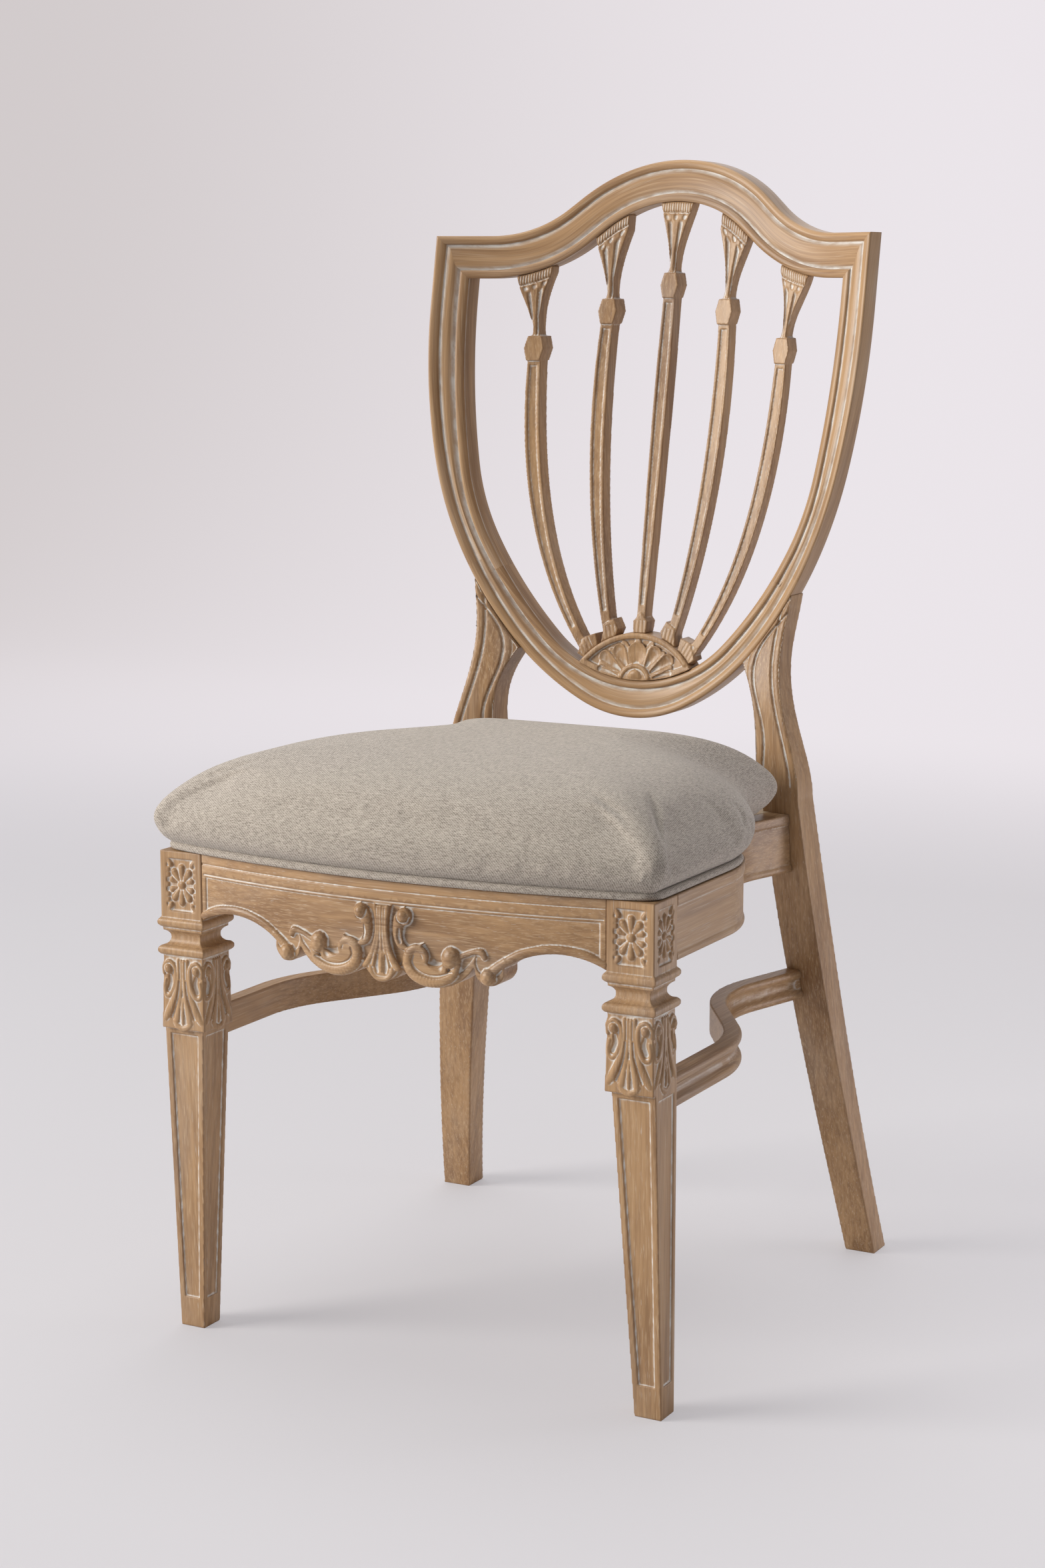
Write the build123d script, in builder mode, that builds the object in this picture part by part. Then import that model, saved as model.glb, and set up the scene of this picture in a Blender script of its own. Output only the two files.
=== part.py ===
# Shield-back dining chair in limed hardwood with an upholstered seat.
# Millimetres. +Z up, front towards -Y, origin on the floor under the middle of the overall box.
import os
from math import cos, radians, sin, sqrt, tan

from build123d import *

os.makedirs("parts", exist_ok=True)

# Seat frame
leg_x = 201.5                # front leg axis from the middle of the chair
seat_height = 407.0          # top of the seat rails
rail_height = 51.0
rail_thick = 22.0
glue_line = 0.1              # between glued faces

# Front legs
block_half = 20.0            # half of the square block
bead_half = 22.5
leaf_half = 20.5
cove_half = 14.4
leaf_top = 318.0
leaf_bottom = 260.0
leaf_taper = 1.5             # the leaf block is this much smaller at its top, on each side
neck_step = 1.0              # the neck between the beads, inside the block's faces
bead_height = 7.6
cove_height = 12.5
fillet_height = 3.0
shaft_top_inner = 16.5       # from the axis to the tapering faces at the top of the shaft
foot_inner = 2.5             # the same at the floor
panel_depth = 1.5
panel_margin = 5.0
panel_foot = 26.0
rosette_depth = 2.0
rosette_margin = 6.0
rosette_boss = 4.5

# Side rails and stretchers, seen from above
shoulder_start = 116.0       # straight length of the outer face behind the front leg
shoulder_radius = 130.0
shoulder_turn = 33.0
shoulder_run = 61.0
hollow_radius = 108.0
tail_turn = 15.5             # the last run leans outward by this angle
stretcher_thick = 15.0
stretcher_height = 26.0
stretcher_low = 241.0
stretcher_inset = 1.5
stretcher_run = 58.0
strip_height = 8.0           # flat strip along the top of the rails
field_sink = 1.2
edge_bead = 6.5              # bead along the bottom of the rails

# Front rail
bow_rise = 20.0              # how far the middle stands in front of the ends
front_rail_set = 0.5         # behind the front of the leg block
front_rail_drop = 77.5       # depth of the rail at the middle
band_low = 18.0              # from the top of the rail to the underside of the raised band
arch_rise = 45.0             # from the top of the rail to the top of the arch
arch_end = 54.5
carving_proud = 3.0
scroll_radius = 16.5
scroll_hollow = 11.0
volute_radius = 6.0
ball_radius = 8.5
end_knob = 7.0

# Joints
tenon_thick = 9.0
tenon_height = 30.0
tenon_length = 16.0
stretcher_tenon = 14.0
mortise_gap = 0.15
dowel_radius = 3.5
dowel_gap = 0.05
joint_dowel = 0.3387         # x of the dowels between bow and sides, as a share of the shield's height
post_x = 129.0               # dowels between the posts and the shield
post_dowel_rise = 78.2       # above the bottom of the shield
fan_dowel_x = 24.0

# Back
back_set = 413.5             # front of the back at its datum height, behind the front legs' axis
back_datum = 600.0
back_rake = 10.65
bend_radius = 400.0
back_depth = 28.0
shield_bottom = 476.3
shield_corner = 900.0
crest_rise = 66.0
crest_round = 0.3304         # radius of the crest as a share of the shield's height
crest_dip = 0.236            # the same for the hollows beside it
crest_turn = 40.0
crest_width = 37.0
bow_width = 33.0
# The sides of the shield, from the middle of the bow: radius as a share of the outline's height, turn
outer_arcs = ((0.2596, 28), (0.5428, 22), (0.8426, 28), (1.5624, 12))
inner_arcs = ((0.3346, 46), (1.0491, 16), (0.6521, 18), (2.4383, 10))
bow_reach = 129.7            # from the bottom of the shield to the joints between the bow and the sides
mould_bead = 7.0
mould_groove = 3.0
mould_sink = 2.5

# Splats and half rosette: each stop has its x and its share of the shield's height
outer_stops = ((50.5, 0.1338), (90.0, 0.3061), (113.0, 0.5138), (121.0, 0.764), (127.5, 0.9292))
inner_stops = ((30.0, 0.1621), (44.0, 0.3085), (55.5, 0.5138), (57.2, 0.8419), (61.0, 1.0142))
centre_stops = ((0.0, 0.1763), (0.0, 0.3864), (0.0, 0.6224), (0.0, 0.8961), (0.0, 1.0684))
rib_halves = (4.0, 5.4, 6.6, 5.6)
splat_depth = 15.0
splat_set = 1.5
knob_half = 8.7
knob_rise = 11.0
knob_proud = 2.5
neck_half = 4.0
cap_half = 15.6
channel_wall = 2.6
channel_sink = 1.5
channel_start = 24.0         # from the foot to the channel
head_peg = (12.0, 24.0)
foot_peg = (5.0, 15.0)
peg_set = 5.5
peg_depth = 7.0
fan_radius = 68.0
fan_rise = 6.7               # centre of the half rosette above the bottom of the shield
fan_depth = 22.0
fan_rim = 5.0
fan_sink = 3.0
fan_hub = 15.0
petal_count = 7
petal_half = (12.0, 4.6)

# Rear legs at even heights from the floor to just above the seat: outer x, inner x,
# front y at the outer and the inner edge behind the front legs' axis, depth
foot_station = (222.3, 194.2, 439.0, 439.0, 27.0)
shin_station = (206.7, 174.2, 403.5, 407.0, 29.0)
knee_station = (189.7, 153.5, 377.5, 383.0, 34.5)
seat_station = (173.0, 135.0, 362.5, 371.0, 34.0)
# Posts at even heights from there up into the shield
hip_station = (166.0, 129.5, 360.2, 369.0, 30.5)
waist_station = (153.2, 122.5, 366.0, 372.5, 28.0)
# The last two follow the bend of the back: outer x, inner x
neck_mid = (150.2, 96.0)
neck_top = (156.0, 80.0)
post_start = 13.0            # above the seat rails
post_reach = 123.7           # above the bottom of the shield
rear_rail_set = 384.0
rear_rail_thick = 20.0

# Seat
board_thick = 8.0
board_inset = 12.0
cushion_gap = 0.3
cushion_rise = 76.0
cushion_full = 13.0          # how far the sides of the cushion stand out over the rails
seat_back = 346.0            # rear edge of the seat behind the front legs' axis
seat_nose = 45.0             # front of the seat before the front legs' axis, at the middle
seat_corner = 16.0
seat_tail = 4.0              # the sides of the seat lean outward by this angle at the rear
seat_bow = 30.0
welt_radius = 3.3
block_height = 38.0
screw_shank = 2.0
screw_head = 4.0
screw_head_height = 2.5
screw_gap = 0.15
seat_screw_grip = 5.0        # how deep a seat screw goes into the board
rail_screw_length = 34.0

rail_low = seat_height - rail_height
rail_mid = seat_height - rail_height / 2
post_low = seat_height + post_start
leg_step = post_low / 3
post_top = shield_bottom + post_reach
post_step = (post_top - post_low) / 4
shield_height = shield_corner - shield_bottom
crest_radius = crest_round * shield_height
crest_hollow = crest_dip * shield_height
bow_joint = shield_bottom + bow_reach
fan_centre = shield_bottom + fan_rise
rake = radians(back_rake)
# the origin lies midway between the front of the cushion and the back of the crest
crest_back = back_set + tan(rake) * (shield_corner + crest_rise - back_datum) + back_depth
front_y = -(crest_back - seat_nose - cushion_full) / 2
back_y = front_y + back_set
rail_x = leg_x + block_half
rail_start = front_y + block_half


def bend_y(x, z):
    # front face of the back at a given width and height
    sag = bend_radius - sqrt(bend_radius**2 - x**2)
    return back_y + tan(rake) * (z - back_datum) - sag


def bent(face, setback, depth):
    # the part of a front-view face that lies between two bent and raked surfaces
    low = shield_bottom - 60.0
    half = 260.0
    length = 700.0
    with BuildPart() as piece:
        with BuildSketch(Plane.XZ):
            add(face)
        extrude(amount=900.0, both=True)
        with BuildSketch(Plane.XY.offset(low)):
            with BuildLine():
                near = ThreePointArc(
                    (-half, bend_y(half, low) + setback),
                    (0, bend_y(0, low) + setback),
                    (half, bend_y(half, low) + setback),
                )
                far = ThreePointArc(
                    (-half, bend_y(half, low) + setback + depth),
                    (0, bend_y(0, low) + setback + depth),
                    (half, bend_y(half, low) + setback + depth),
                )
                Line(near @ 0, far @ 0)
                Line(near @ 1, far @ 1)
            make_face()
        extrude(amount=length, dir=(0, sin(rake), cos(rake)), mode=Mode.INTERSECT)
    return piece.part


def rod(start, direction, radius, before, after):
    # a round bar along a direction, from before the start point to after it
    axis = Plane(origin=start, z_dir=direction)
    with BuildPart() as bar:
        with BuildSketch(axis.offset(-before)):
            Circle(radius)
        extrude(amount=before + after)
    return bar.part


def beam(start, direction, width, height, before, after):
    # a square-edged bar along a level direction
    axis = Plane(origin=start, x_dir=Vector(direction).cross(Vector(0, 0, 1)), z_dir=direction)
    with BuildPart() as bar:
        with BuildSketch(axis.offset(-before)):
            Rectangle(width, height)
        extrude(amount=before + after)
    return bar.part


def twin(piece):
    return mirror(piece, about=Plane.YZ)


def largest(piece):
    # the piece without the offcuts that a cut leaves behind it
    return piece.solids().sort_by(SortBy.VOLUME)[-1]


# Front leg: one silhouette serves both views, because the leg is square in plan
bead_top = leaf_top + 2 * bead_height + cove_height + 2 * fillet_height
cove_low = leaf_top + fillet_height + bead_height
cove_top = cove_low + cove_height
with BuildSketch() as leg_outline:
    with BuildLine():
        Line((-block_half, seat_height), (block_half, seat_height))
        Line((block_half, seat_height), (block_half, bead_top))
        ThreePointArc(
            (block_half, bead_top),
            (bead_half, bead_top - bead_height / 2),
            (block_half, bead_top - bead_height),
        )
        Polyline(
            (block_half, bead_top - bead_height),
            (block_half - neck_step, bead_top - bead_height),
            (block_half - neck_step, cove_top),
        )
        ThreePointArc(
            (block_half - neck_step, cove_top),
            (cove_half, cove_low + cove_height / 2),
            (block_half - neck_step, cove_low),
        )
        Line((block_half - neck_step, cove_low), (block_half, cove_low))
        ThreePointArc(
            (block_half, cove_low),
            (bead_half, cove_low - bead_height / 2),
            (block_half, cove_low - bead_height),
        )
        Polyline(
            (block_half, cove_low - bead_height),
            (leaf_half - leaf_taper, cove_low - bead_height),
            (leaf_half - leaf_taper, leaf_top),
            (leaf_half, leaf_bottom),
            (leaf_half, 0),
            (-foot_inner, 0),
            (-shaft_top_inner, leaf_bottom),
            (-leaf_half, leaf_bottom),
            (leaf_taper - leaf_half, leaf_top),
            (leaf_taper - leaf_half, cove_low - bead_height),
            (-block_half, cove_low - bead_height),
        )
        ThreePointArc(
            (-block_half, cove_low - bead_height),
            (-bead_half, cove_low - bead_height / 2),
            (-block_half, cove_low),
        )
        Line((-block_half, cove_low), (neck_step - block_half, cove_low))
        ThreePointArc(
            (neck_step - block_half, cove_low),
            (-cove_half, cove_low + cove_height / 2),
            (neck_step - block_half, cove_top),
        )
        Polyline(
            (neck_step - block_half, cove_top),
            (neck_step - block_half, bead_top - bead_height),
            (-block_half, bead_top - bead_height),
        )
        ThreePointArc(
            (-block_half, bead_top - bead_height),
            (-bead_half, bead_top - bead_height / 2),
            (-block_half, bead_top),
        )
        Line((-block_half, bead_top), (-block_half, seat_height))
    make_face()

leg_front = Plane(origin=(leg_x, front_y, 0), x_dir=(1, 0, 0), z_dir=(0, -1, 0))
leg_side = Plane(origin=(leg_x, front_y, 0), x_dir=(0, 1, 0), z_dir=(1, 0, 0))

# Sunk panel of a tapering face, as seen square to it, and the thin wedge that it is sunk into
taper = (shaft_top_inner - foot_inner) / leaf_bottom
panel_top = leaf_bottom - panel_margin
with BuildSketch() as panel_outline:
    with BuildLine():
        Polyline(
            (leaf_half - panel_margin, panel_foot),
            (leaf_half - panel_margin, panel_top),
            (panel_margin - foot_inner - taper * panel_top, panel_top),
            (panel_margin - foot_inner - taper * panel_foot, panel_foot),
            close=True,
        )
    make_face()
with BuildSketch() as taper_skin:
    with BuildLine():
        Polyline(
            (panel_depth - foot_inner, 0),
            (panel_depth - shaft_top_inner, leaf_bottom),
            (-60, leaf_bottom),
            (-60, 0),
            close=True,
        )
    make_face()
with BuildSketch() as straight_skin:
    with BuildLine():
        Polyline(
            (leaf_half - panel_depth, 0),
            (leaf_half - panel_depth, leaf_bottom),
            (60, leaf_bottom),
            (60, 0),
            close=True,
        )
    make_face()


def leg_panel(face_plane, skin_plane, skin):
    with BuildPart() as panel:
        with BuildSketch(face_plane):
            add(panel_outline.sketch)
        extrude(amount=60.0, both=True)
        with BuildSketch(skin_plane):
            add(skin)
        extrude(amount=60.0, both=True, mode=Mode.INTERSECT)
    return panel.part


leg_panels = [
    leg_panel(leg_front, leg_side, taper_skin.sketch),
    leg_panel(leg_front, leg_side, straight_skin.sketch),
    leg_panel(leg_side, leg_front, taper_skin.sketch),
    leg_panel(leg_side, leg_front, straight_skin.sketch),
]

rosette_mid = (seat_height + bead_top) / 2
rosette_tall = seat_height - bead_top - 2 * rosette_margin
rosette_wide = 2 * (block_half - rosette_margin)
with BuildPart() as front_leg_blank:
    with BuildSketch(leg_front):
        add(leg_outline.sketch)
    extrude(amount=60.0, both=True)
    with BuildSketch(leg_side):
        add(leg_outline.sketch)
    extrude(amount=60.0, both=True, mode=Mode.INTERSECT)
    for panel in leg_panels:
        add(panel, mode=Mode.SUBTRACT)
    for face_plane in (leg_front.offset(block_half), leg_side.offset(block_half)):
        with BuildSketch(face_plane):
            with Locations((0, rosette_mid)):
                Rectangle(rosette_wide, rosette_tall)
        extrude(amount=-rosette_depth, mode=Mode.SUBTRACT)
        with Locations(face_plane.offset(-rosette_depth).location * Location((0, rosette_mid, 0))):
            Sphere(rosette_boss, arc_size1=0)

# Path of the side rail's outer face and of the stretcher's, on the right-hand side


def side_path(outer_x, start_y, straight, run, tail):
    with BuildLine() as path:
        first = Line((outer_x, start_y), (outer_x, start_y + straight))
        shoulder = JernArc(first @ 1, first % 1, shoulder_radius, shoulder_turn)
        middle = Line(shoulder @ 1, shoulder @ 1 + (shoulder % 1) * run)
        hollow = JernArc(middle @ 1, middle % 1, hollow_radius, -shoulder_turn - tail_turn)
        Line(hollow @ 1, hollow @ 1 + (hollow % 1) * tail)
    return path


tail_length = 110.0
rail_path = side_path(rail_x, rail_start, shoulder_start - block_half, shoulder_run, tail_length)
rail_section = Plane(origin=(rail_x, rail_start, rail_low), x_dir=(-1, 0, 0), z_dir=(0, 1, 0))

# Rear leg and post in one curved piece: a sabre leg below the seat, a waisted post above it
leg_stations = [foot_station, shin_station, knee_station, seat_station]
post_stations = [seat_station, hip_station, waist_station]
for outer, inner, height in ((*neck_mid, post_top - post_step), (*neck_top, post_top)):
    near_outer = bend_y(outer, height) - front_y
    near_inner = bend_y(inner, height) - front_y
    post_stations.append((outer, inner, near_outer, near_inner, back_depth))
with BuildPart() as rear_leg_blank:
    for stations, low, step in ((leg_stations, 0, leg_step), (post_stations, post_low, post_step)):
        for index, (outer, inner, near_outer, near_inner, depth) in enumerate(stations):
            with BuildSketch(Plane.XY.offset(low + index * step)):
                Polygon(
                    (outer, front_y + near_outer),
                    (outer, front_y + near_outer + depth),
                    (inner, front_y + near_inner + depth),
                    (inner, front_y + near_inner),
                    align=None,
                )
        loft()

# Screws through the corner blocks: one up into the seat board and two into the rails at each corner
rear_gauge = seat_station[1] + (knee_station[1] - seat_station[1]) * (post_low - rail_mid) / leg_step
block_low = seat_height - block_height
rear_inner = rear_gauge - 14.0
front_screw = Vector(leg_x - block_half - 12, front_y + block_half + 16, block_low)
rear_screw = Vector(rear_inner - 26, front_y + rear_rail_set - 24, block_low)
up = Vector(0, 0, 1)
screw_z = block_low + block_height * 0.45
apron_screw = Vector(leg_x - block_half - 30, front_y + 16, screw_z)
side_screw = Vector(rail_x - rail_thick - 16, front_y + block_half + 38, screw_z)
rear_rail_screw = Vector(rear_inner - 38, front_y + rear_rail_set - 16, screw_z)
tail_screw = Vector(rear_inner - 10, front_y + rear_rail_set - 50, screw_z)
rail_screws = [
    (apron_screw, Vector(0, -1, 0)),
    (side_screw, Vector(1, 0, 0)),
    (rear_rail_screw, Vector(0, 1, 0)),
    (tail_screw, Vector(1, 0, 0)),
]
seat_screw_length = block_height + seat_screw_grip


def screw(start, direction, length):
    with BuildPart() as fixing:
        add(rod(start, direction, screw_shank, 0, length))
        add(rod(start, direction, screw_head, screw_head_height, 0))
    return fixing.part


def screw_hole(start, direction, length, sink):
    with BuildPart() as hole:
        add(rod(start, direction, screw_shank + screw_gap, 1, length + screw_gap))
        if sink:
            add(rod(start, direction, screw_head + screw_gap, sink, 0))
    return hole.part


screw_holes = []
for start, direction in rail_screws:
    hole = screw_hole(start, direction, rail_screw_length, 70.0)
    screw_holes.append(hole)
    screw_holes.append(twin(hole))
seat_holes = []
for start in (front_screw, rear_screw):
    hole = screw_hole(start, up, seat_screw_length, 0)
    seat_holes.append(hole)
    seat_holes.append(twin(hole))

# Side rail: a moulded section carried along the bell-shaped path
with BuildPart() as side_rail_body:
    with BuildSketch(rail_section):
        with BuildLine():
            Polyline(
                (field_sink, edge_bead),
                (field_sink, rail_height - strip_height),
                (0, rail_height - strip_height),
                (0, rail_height),
                (rail_thick, rail_height),
                (rail_thick, 0),
                (field_sink, 0),
            )
            ThreePointArc((field_sink, 0), (0, edge_bead / 2), (field_sink, edge_bead))
        make_face()
    sweep(path=rail_path.wire().moved(Location((0, 0, rail_low))))
    add(rear_leg_blank.part.moved(Location((0, -glue_line, 0))), mode=Mode.SUBTRACT)

tail_dir = rail_path.wire() % 1
tail_spot = front_y + seat_station[2] + 6.0
tail_end = rail_path.wire() @ 1
tail_back = (tail_spot - tail_end.Y) / tail_dir.Y
rail_inward = Vector(-tail_dir.Y, tail_dir.X, 0)
tail_point = tail_end + tail_dir * tail_back + rail_inward * (rail_thick / 2)
tail_point = Vector(tail_point.X, tail_point.Y, rail_mid)
head_point = Vector(rail_x - rail_thick / 2, rail_start, rail_mid)
head_dir = Vector(0, -1, 0)


def joint_beam(point, direction, length, height, back, gap):
    # a tenon, or with a gap the mortise that takes it
    return beam(point, direction, tenon_thick + 2 * gap, height + 2 * gap, back, length + gap)


with BuildPart() as side_rail_right:
    add(largest(side_rail_body.part))
    add(joint_beam(head_point, head_dir, tenon_length, tenon_height, 3.0, 0))
    add(joint_beam(tail_point, tail_dir, tenon_length, tenon_height, 8.0, 0))
    for hole in screw_holes:
        add(hole, mode=Mode.SUBTRACT)
side_rail_right.part.label = "side_rail_right"

# Stretcher: bead, cove and bead on the outer face
stretcher_x = leg_x + leaf_half - stretcher_inset
stretcher_start = front_y + leaf_half
stretcher_mid = stretcher_low + stretcher_height / 2
stretcher_path = side_path(
    stretcher_x, stretcher_start, shoulder_start - leaf_half, stretcher_run, tail_length
)
stretcher_plane = Plane(
    origin=(stretcher_x, stretcher_start + glue_line, stretcher_low), x_dir=(-1, 0, 0), z_dir=(0, 1, 0)
)
bead_rise = stretcher_height * 0.3
with BuildPart() as stretcher_body:
    with BuildSketch(stretcher_plane):
        with BuildLine():
            ThreePointArc((2, 0), (0, bead_rise / 2), (2, bead_rise))
            ThreePointArc(
                (2, bead_rise), (4.5, stretcher_height / 2), (2, stretcher_height - bead_rise)
            )
            ThreePointArc(
                (2, stretcher_height - bead_rise),
                (0, stretcher_height - bead_rise / 2),
                (2, stretcher_height),
            )
            Polyline(
                (2, stretcher_height), (stretcher_thick, stretcher_height), (stretcher_thick, 0), (2, 0)
            )
        make_face()
    sweep(path=stretcher_path.wire().moved(Location((0, glue_line, stretcher_low))))
    add(rear_leg_blank.part.moved(Location((0, -glue_line, 0))), mode=Mode.SUBTRACT)

shin_y = front_y + knee_station[2] + 10.0
run_dir = stretcher_path.wire() % 1
run_end = stretcher_path.wire() @ 1
run_point = run_end + run_dir * ((shin_y - run_end.Y) / run_dir.Y)
run_point = run_point + Vector(-run_dir.Y, run_dir.X, 0) * (stretcher_thick / 2)
run_point = Vector(run_point.X, run_point.Y, stretcher_mid)
toe_point = Vector(stretcher_x - stretcher_thick / 2, stretcher_start, stretcher_mid)
with BuildPart() as stretcher_right:
    add(largest(stretcher_body.part))
    add(joint_beam(toe_point, head_dir, stretcher_tenon, stretcher_tenon, 3.0, 0))
    add(joint_beam(run_point, run_dir, stretcher_tenon, stretcher_tenon, 8.0, 0))
stretcher_right.part.label = "stretcher_right"

# Front rail: bowed in plan, arched below, with the carving's main forms raised on it
rail_end = leg_x - block_half - glue_line
end_y = front_y - block_half + front_rail_set


def bowed(face, setback, depth):
    # the part of a front-view face that lies between two bowed surfaces
    with BuildPart() as piece:
        with BuildSketch(Plane.XZ):
            add(face)
        extrude(amount=600.0, both=True)
        with BuildSketch(Plane.XY):
            with BuildLine():
                near = ThreePointArc(
                    (-rail_end, end_y + setback),
                    (0, end_y - bow_rise + setback),
                    (rail_end, end_y + setback),
                )
                far = ThreePointArc(
                    (-rail_end, end_y + setback + depth),
                    (0, end_y - bow_rise + setback + depth),
                    (rail_end, end_y + setback + depth),
                )
                Line(near @ 0, far @ 0)
                Line(near @ 1, far @ 1)
            make_face()
        extrude(amount=seat_height + 10.0, mode=Mode.INTERSECT)
    return piece.part


rail_foot = seat_height - front_rail_drop
arch_top = seat_height - arch_rise
arch_side = seat_height - arch_end
knob_x = 90.0
knob_z = rail_foot + 10.5
scroll_x = 40.0
scroll_z = rail_foot + 16.0
ball_x = 59.0
ball_z = rail_foot + 22.5
with BuildSketch() as apron_outline:
    with BuildLine():
        Line((0, seat_height), (rail_end, seat_height))
        Line((rail_end, seat_height), (rail_end, arch_side))
        ThreePointArc((rail_end, arch_side), (148, arch_top), (knob_x + 12, knob_z + 8))
        ThreePointArc((knob_x + 12, knob_z + 8), (knob_x, knob_z - 7), (knob_x - 11, knob_z + 9))
        ThreePointArc((knob_x - 11, knob_z + 9), (scroll_x + 4, rail_foot - 2), (17, rail_foot + 9))
        ThreePointArc((17, rail_foot + 9), (9, rail_foot + 1), (0, rail_foot))
        mirror(about=Plane.YZ)
    make_face()
with BuildSketch() as apron_field:
    add(apron_outline.sketch.moved(Location((0, edge_bead, 0))))
    with Locations((0, seat_height - band_low)):
        Rectangle(
            2 * rail_end - 8, front_rail_drop, align=(Align.CENTER, Align.MAX), mode=Mode.INTERSECT
        )
with BuildSketch() as apron_groove:
    with Locations((0, seat_height - strip_height)):
        Rectangle(2 * rail_end + 2, 1.6)
with BuildSketch() as apron_carving:
    with BuildLine():
        Line((0, seat_height - band_low - 1), (8, seat_height - band_low - 1))
        ThreePointArc((8, seat_height - band_low - 1), (6.5, rail_foot + 30), (13, rail_foot + 10))
        ThreePointArc((13, rail_foot + 10), (7.5, rail_foot + 2), (0, rail_foot))
        mirror(about=Plane.YZ)
    make_face()
    with Locations((19, seat_height - band_low - 9), (-19, seat_height - band_low - 9)):
        Circle(volute_radius)
    for side in (1, -1):
        with Locations((side * scroll_x, scroll_z)):
            Circle(scroll_radius)
        with Locations((side * (scroll_x + 5), scroll_z + 10)):
            Circle(scroll_hollow, mode=Mode.SUBTRACT)
apron_tenon = Vector(rail_end, end_y + rail_thick / 2, rail_mid)
with BuildPart() as front_rail_body:
    add(bowed(apron_outline.sketch, 0, rail_thick))
with BuildPart() as front_rail:
    add(front_rail_body.part)
    add(bowed(apron_field.sketch, -5, 5 + field_sink), mode=Mode.SUBTRACT)
    add(bowed(apron_groove.sketch, -5, 6), mode=Mode.SUBTRACT)
    add(bowed(apron_carving.sketch, -carving_proud, carving_proud + 6))
    for side in (1, -1):
        with Locations((side * ball_x, end_y - bow_rise + 4, ball_z)):
            Sphere(ball_radius)
        with Locations((side * knob_x, end_y - bow_rise * 0.75 + 5, knob_z)):
            Sphere(end_knob)
        add(
            joint_beam(
                Vector(side * apron_tenon.X, apron_tenon.Y, apron_tenon.Z),
                Vector(side, 0, 0), tenon_length, tenon_height, 4.0, 0,
            )
        )
    for hole in screw_holes:
        add(hole, mode=Mode.SUBTRACT)
front_rail.part.label = "front_rail"

# Rear rail between the rear legs
rear_y = front_y + rear_rail_set + rear_rail_thick / 2
rear_tenon = Vector(rear_gauge, rear_y, rail_mid)
with BuildPart() as rear_rail_body:
    with Locations((0, rear_y, rail_mid)):
        Box(2 * (rear_gauge + 12), rear_rail_thick, rail_height)
    add(rear_leg_blank.part.moved(Location((-glue_line, 0, 0))), mode=Mode.SUBTRACT)
    add(twin(rear_leg_blank.part).moved(Location((glue_line, 0, 0))), mode=Mode.SUBTRACT)
with BuildPart() as rear_rail:
    add(largest(rear_rail_body.part))
    for side in (1, -1):
        add(
            joint_beam(
                Vector(side * rear_tenon.X, rear_tenon.Y, rear_tenon.Z),
                Vector(side, 0, 0), tenon_length, tenon_height, 8.0, 0,
            )
        )
    for hole in screw_holes:
        add(hole, mode=Mode.SUBTRACT)
rear_rail.part.label = "rear_rail"

# Shield outline in front view, from the bottom of the bow up one side and over the crest
crest_slope = radians(crest_turn)


def crest_line(radius, hollow, rise):
    # length of the straight part of the crest and where its hollow begins
    run = (rise - (radius + hollow) * (1 - cos(crest_slope))) / sin(crest_slope)
    return run, (radius + hollow) * sin(crest_slope) + run * cos(crest_slope)


def shield_face(bottom, corner, arcs, radius, hollow, rise):
    run, flat_x = crest_line(radius, hollow, rise)
    with BuildSketch() as shield:
        with BuildLine():
            spot = Vector(0, bottom)
            way = Vector(1, 0)
            for share, arc_turn in arcs:
                side_arc = JernArc(spot, way, share * (corner - bottom), arc_turn)
                spot = side_arc @ 1
                way = side_arc % 1
            Line(spot, (spot.X, corner))
            Line((spot.X, corner), (flat_x, corner))
            dip = JernArc((flat_x, corner), (-1, 0), hollow, -crest_turn)
            slope = Line(dip @ 1, dip @ 1 + (dip % 1) * run)
            JernArc(slope @ 1, slope % 1, radius, crest_turn)
            mirror(about=Plane.YZ)
        make_face()
    return shield.sketch


shield_outer = shield_face(
    shield_bottom, shield_corner, outer_arcs, crest_radius, crest_hollow, crest_rise
)
shield_inner = shield_face(
    shield_bottom + bow_width, shield_corner - crest_width - 1, inner_arcs,
    crest_radius - crest_width, crest_hollow + crest_width, crest_rise + 1.5,
)
outer_corner = shield_outer.vertices().filter_by_position(Axis.Y, shield_corner - 1, shield_corner + 1)
outer_corner = outer_corner.sort_by(Axis.X)[-1]
inner_corner = shield_inner.vertices().filter_by_position(
    Axis.Y, shield_corner - crest_width - 2, shield_corner - crest_width
)
inner_corner = inner_corner.sort_by(Axis.X)[-1]
mitre = (Vector(outer_corner.X, outer_corner.Y) - Vector(inner_corner.X, inner_corner.Y)).normalized()
mitre_in = Vector(inner_corner.X, inner_corner.Y) - mitre * 10
mitre_out = Vector(outer_corner.X, outer_corner.Y) + mitre * 40

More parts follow.
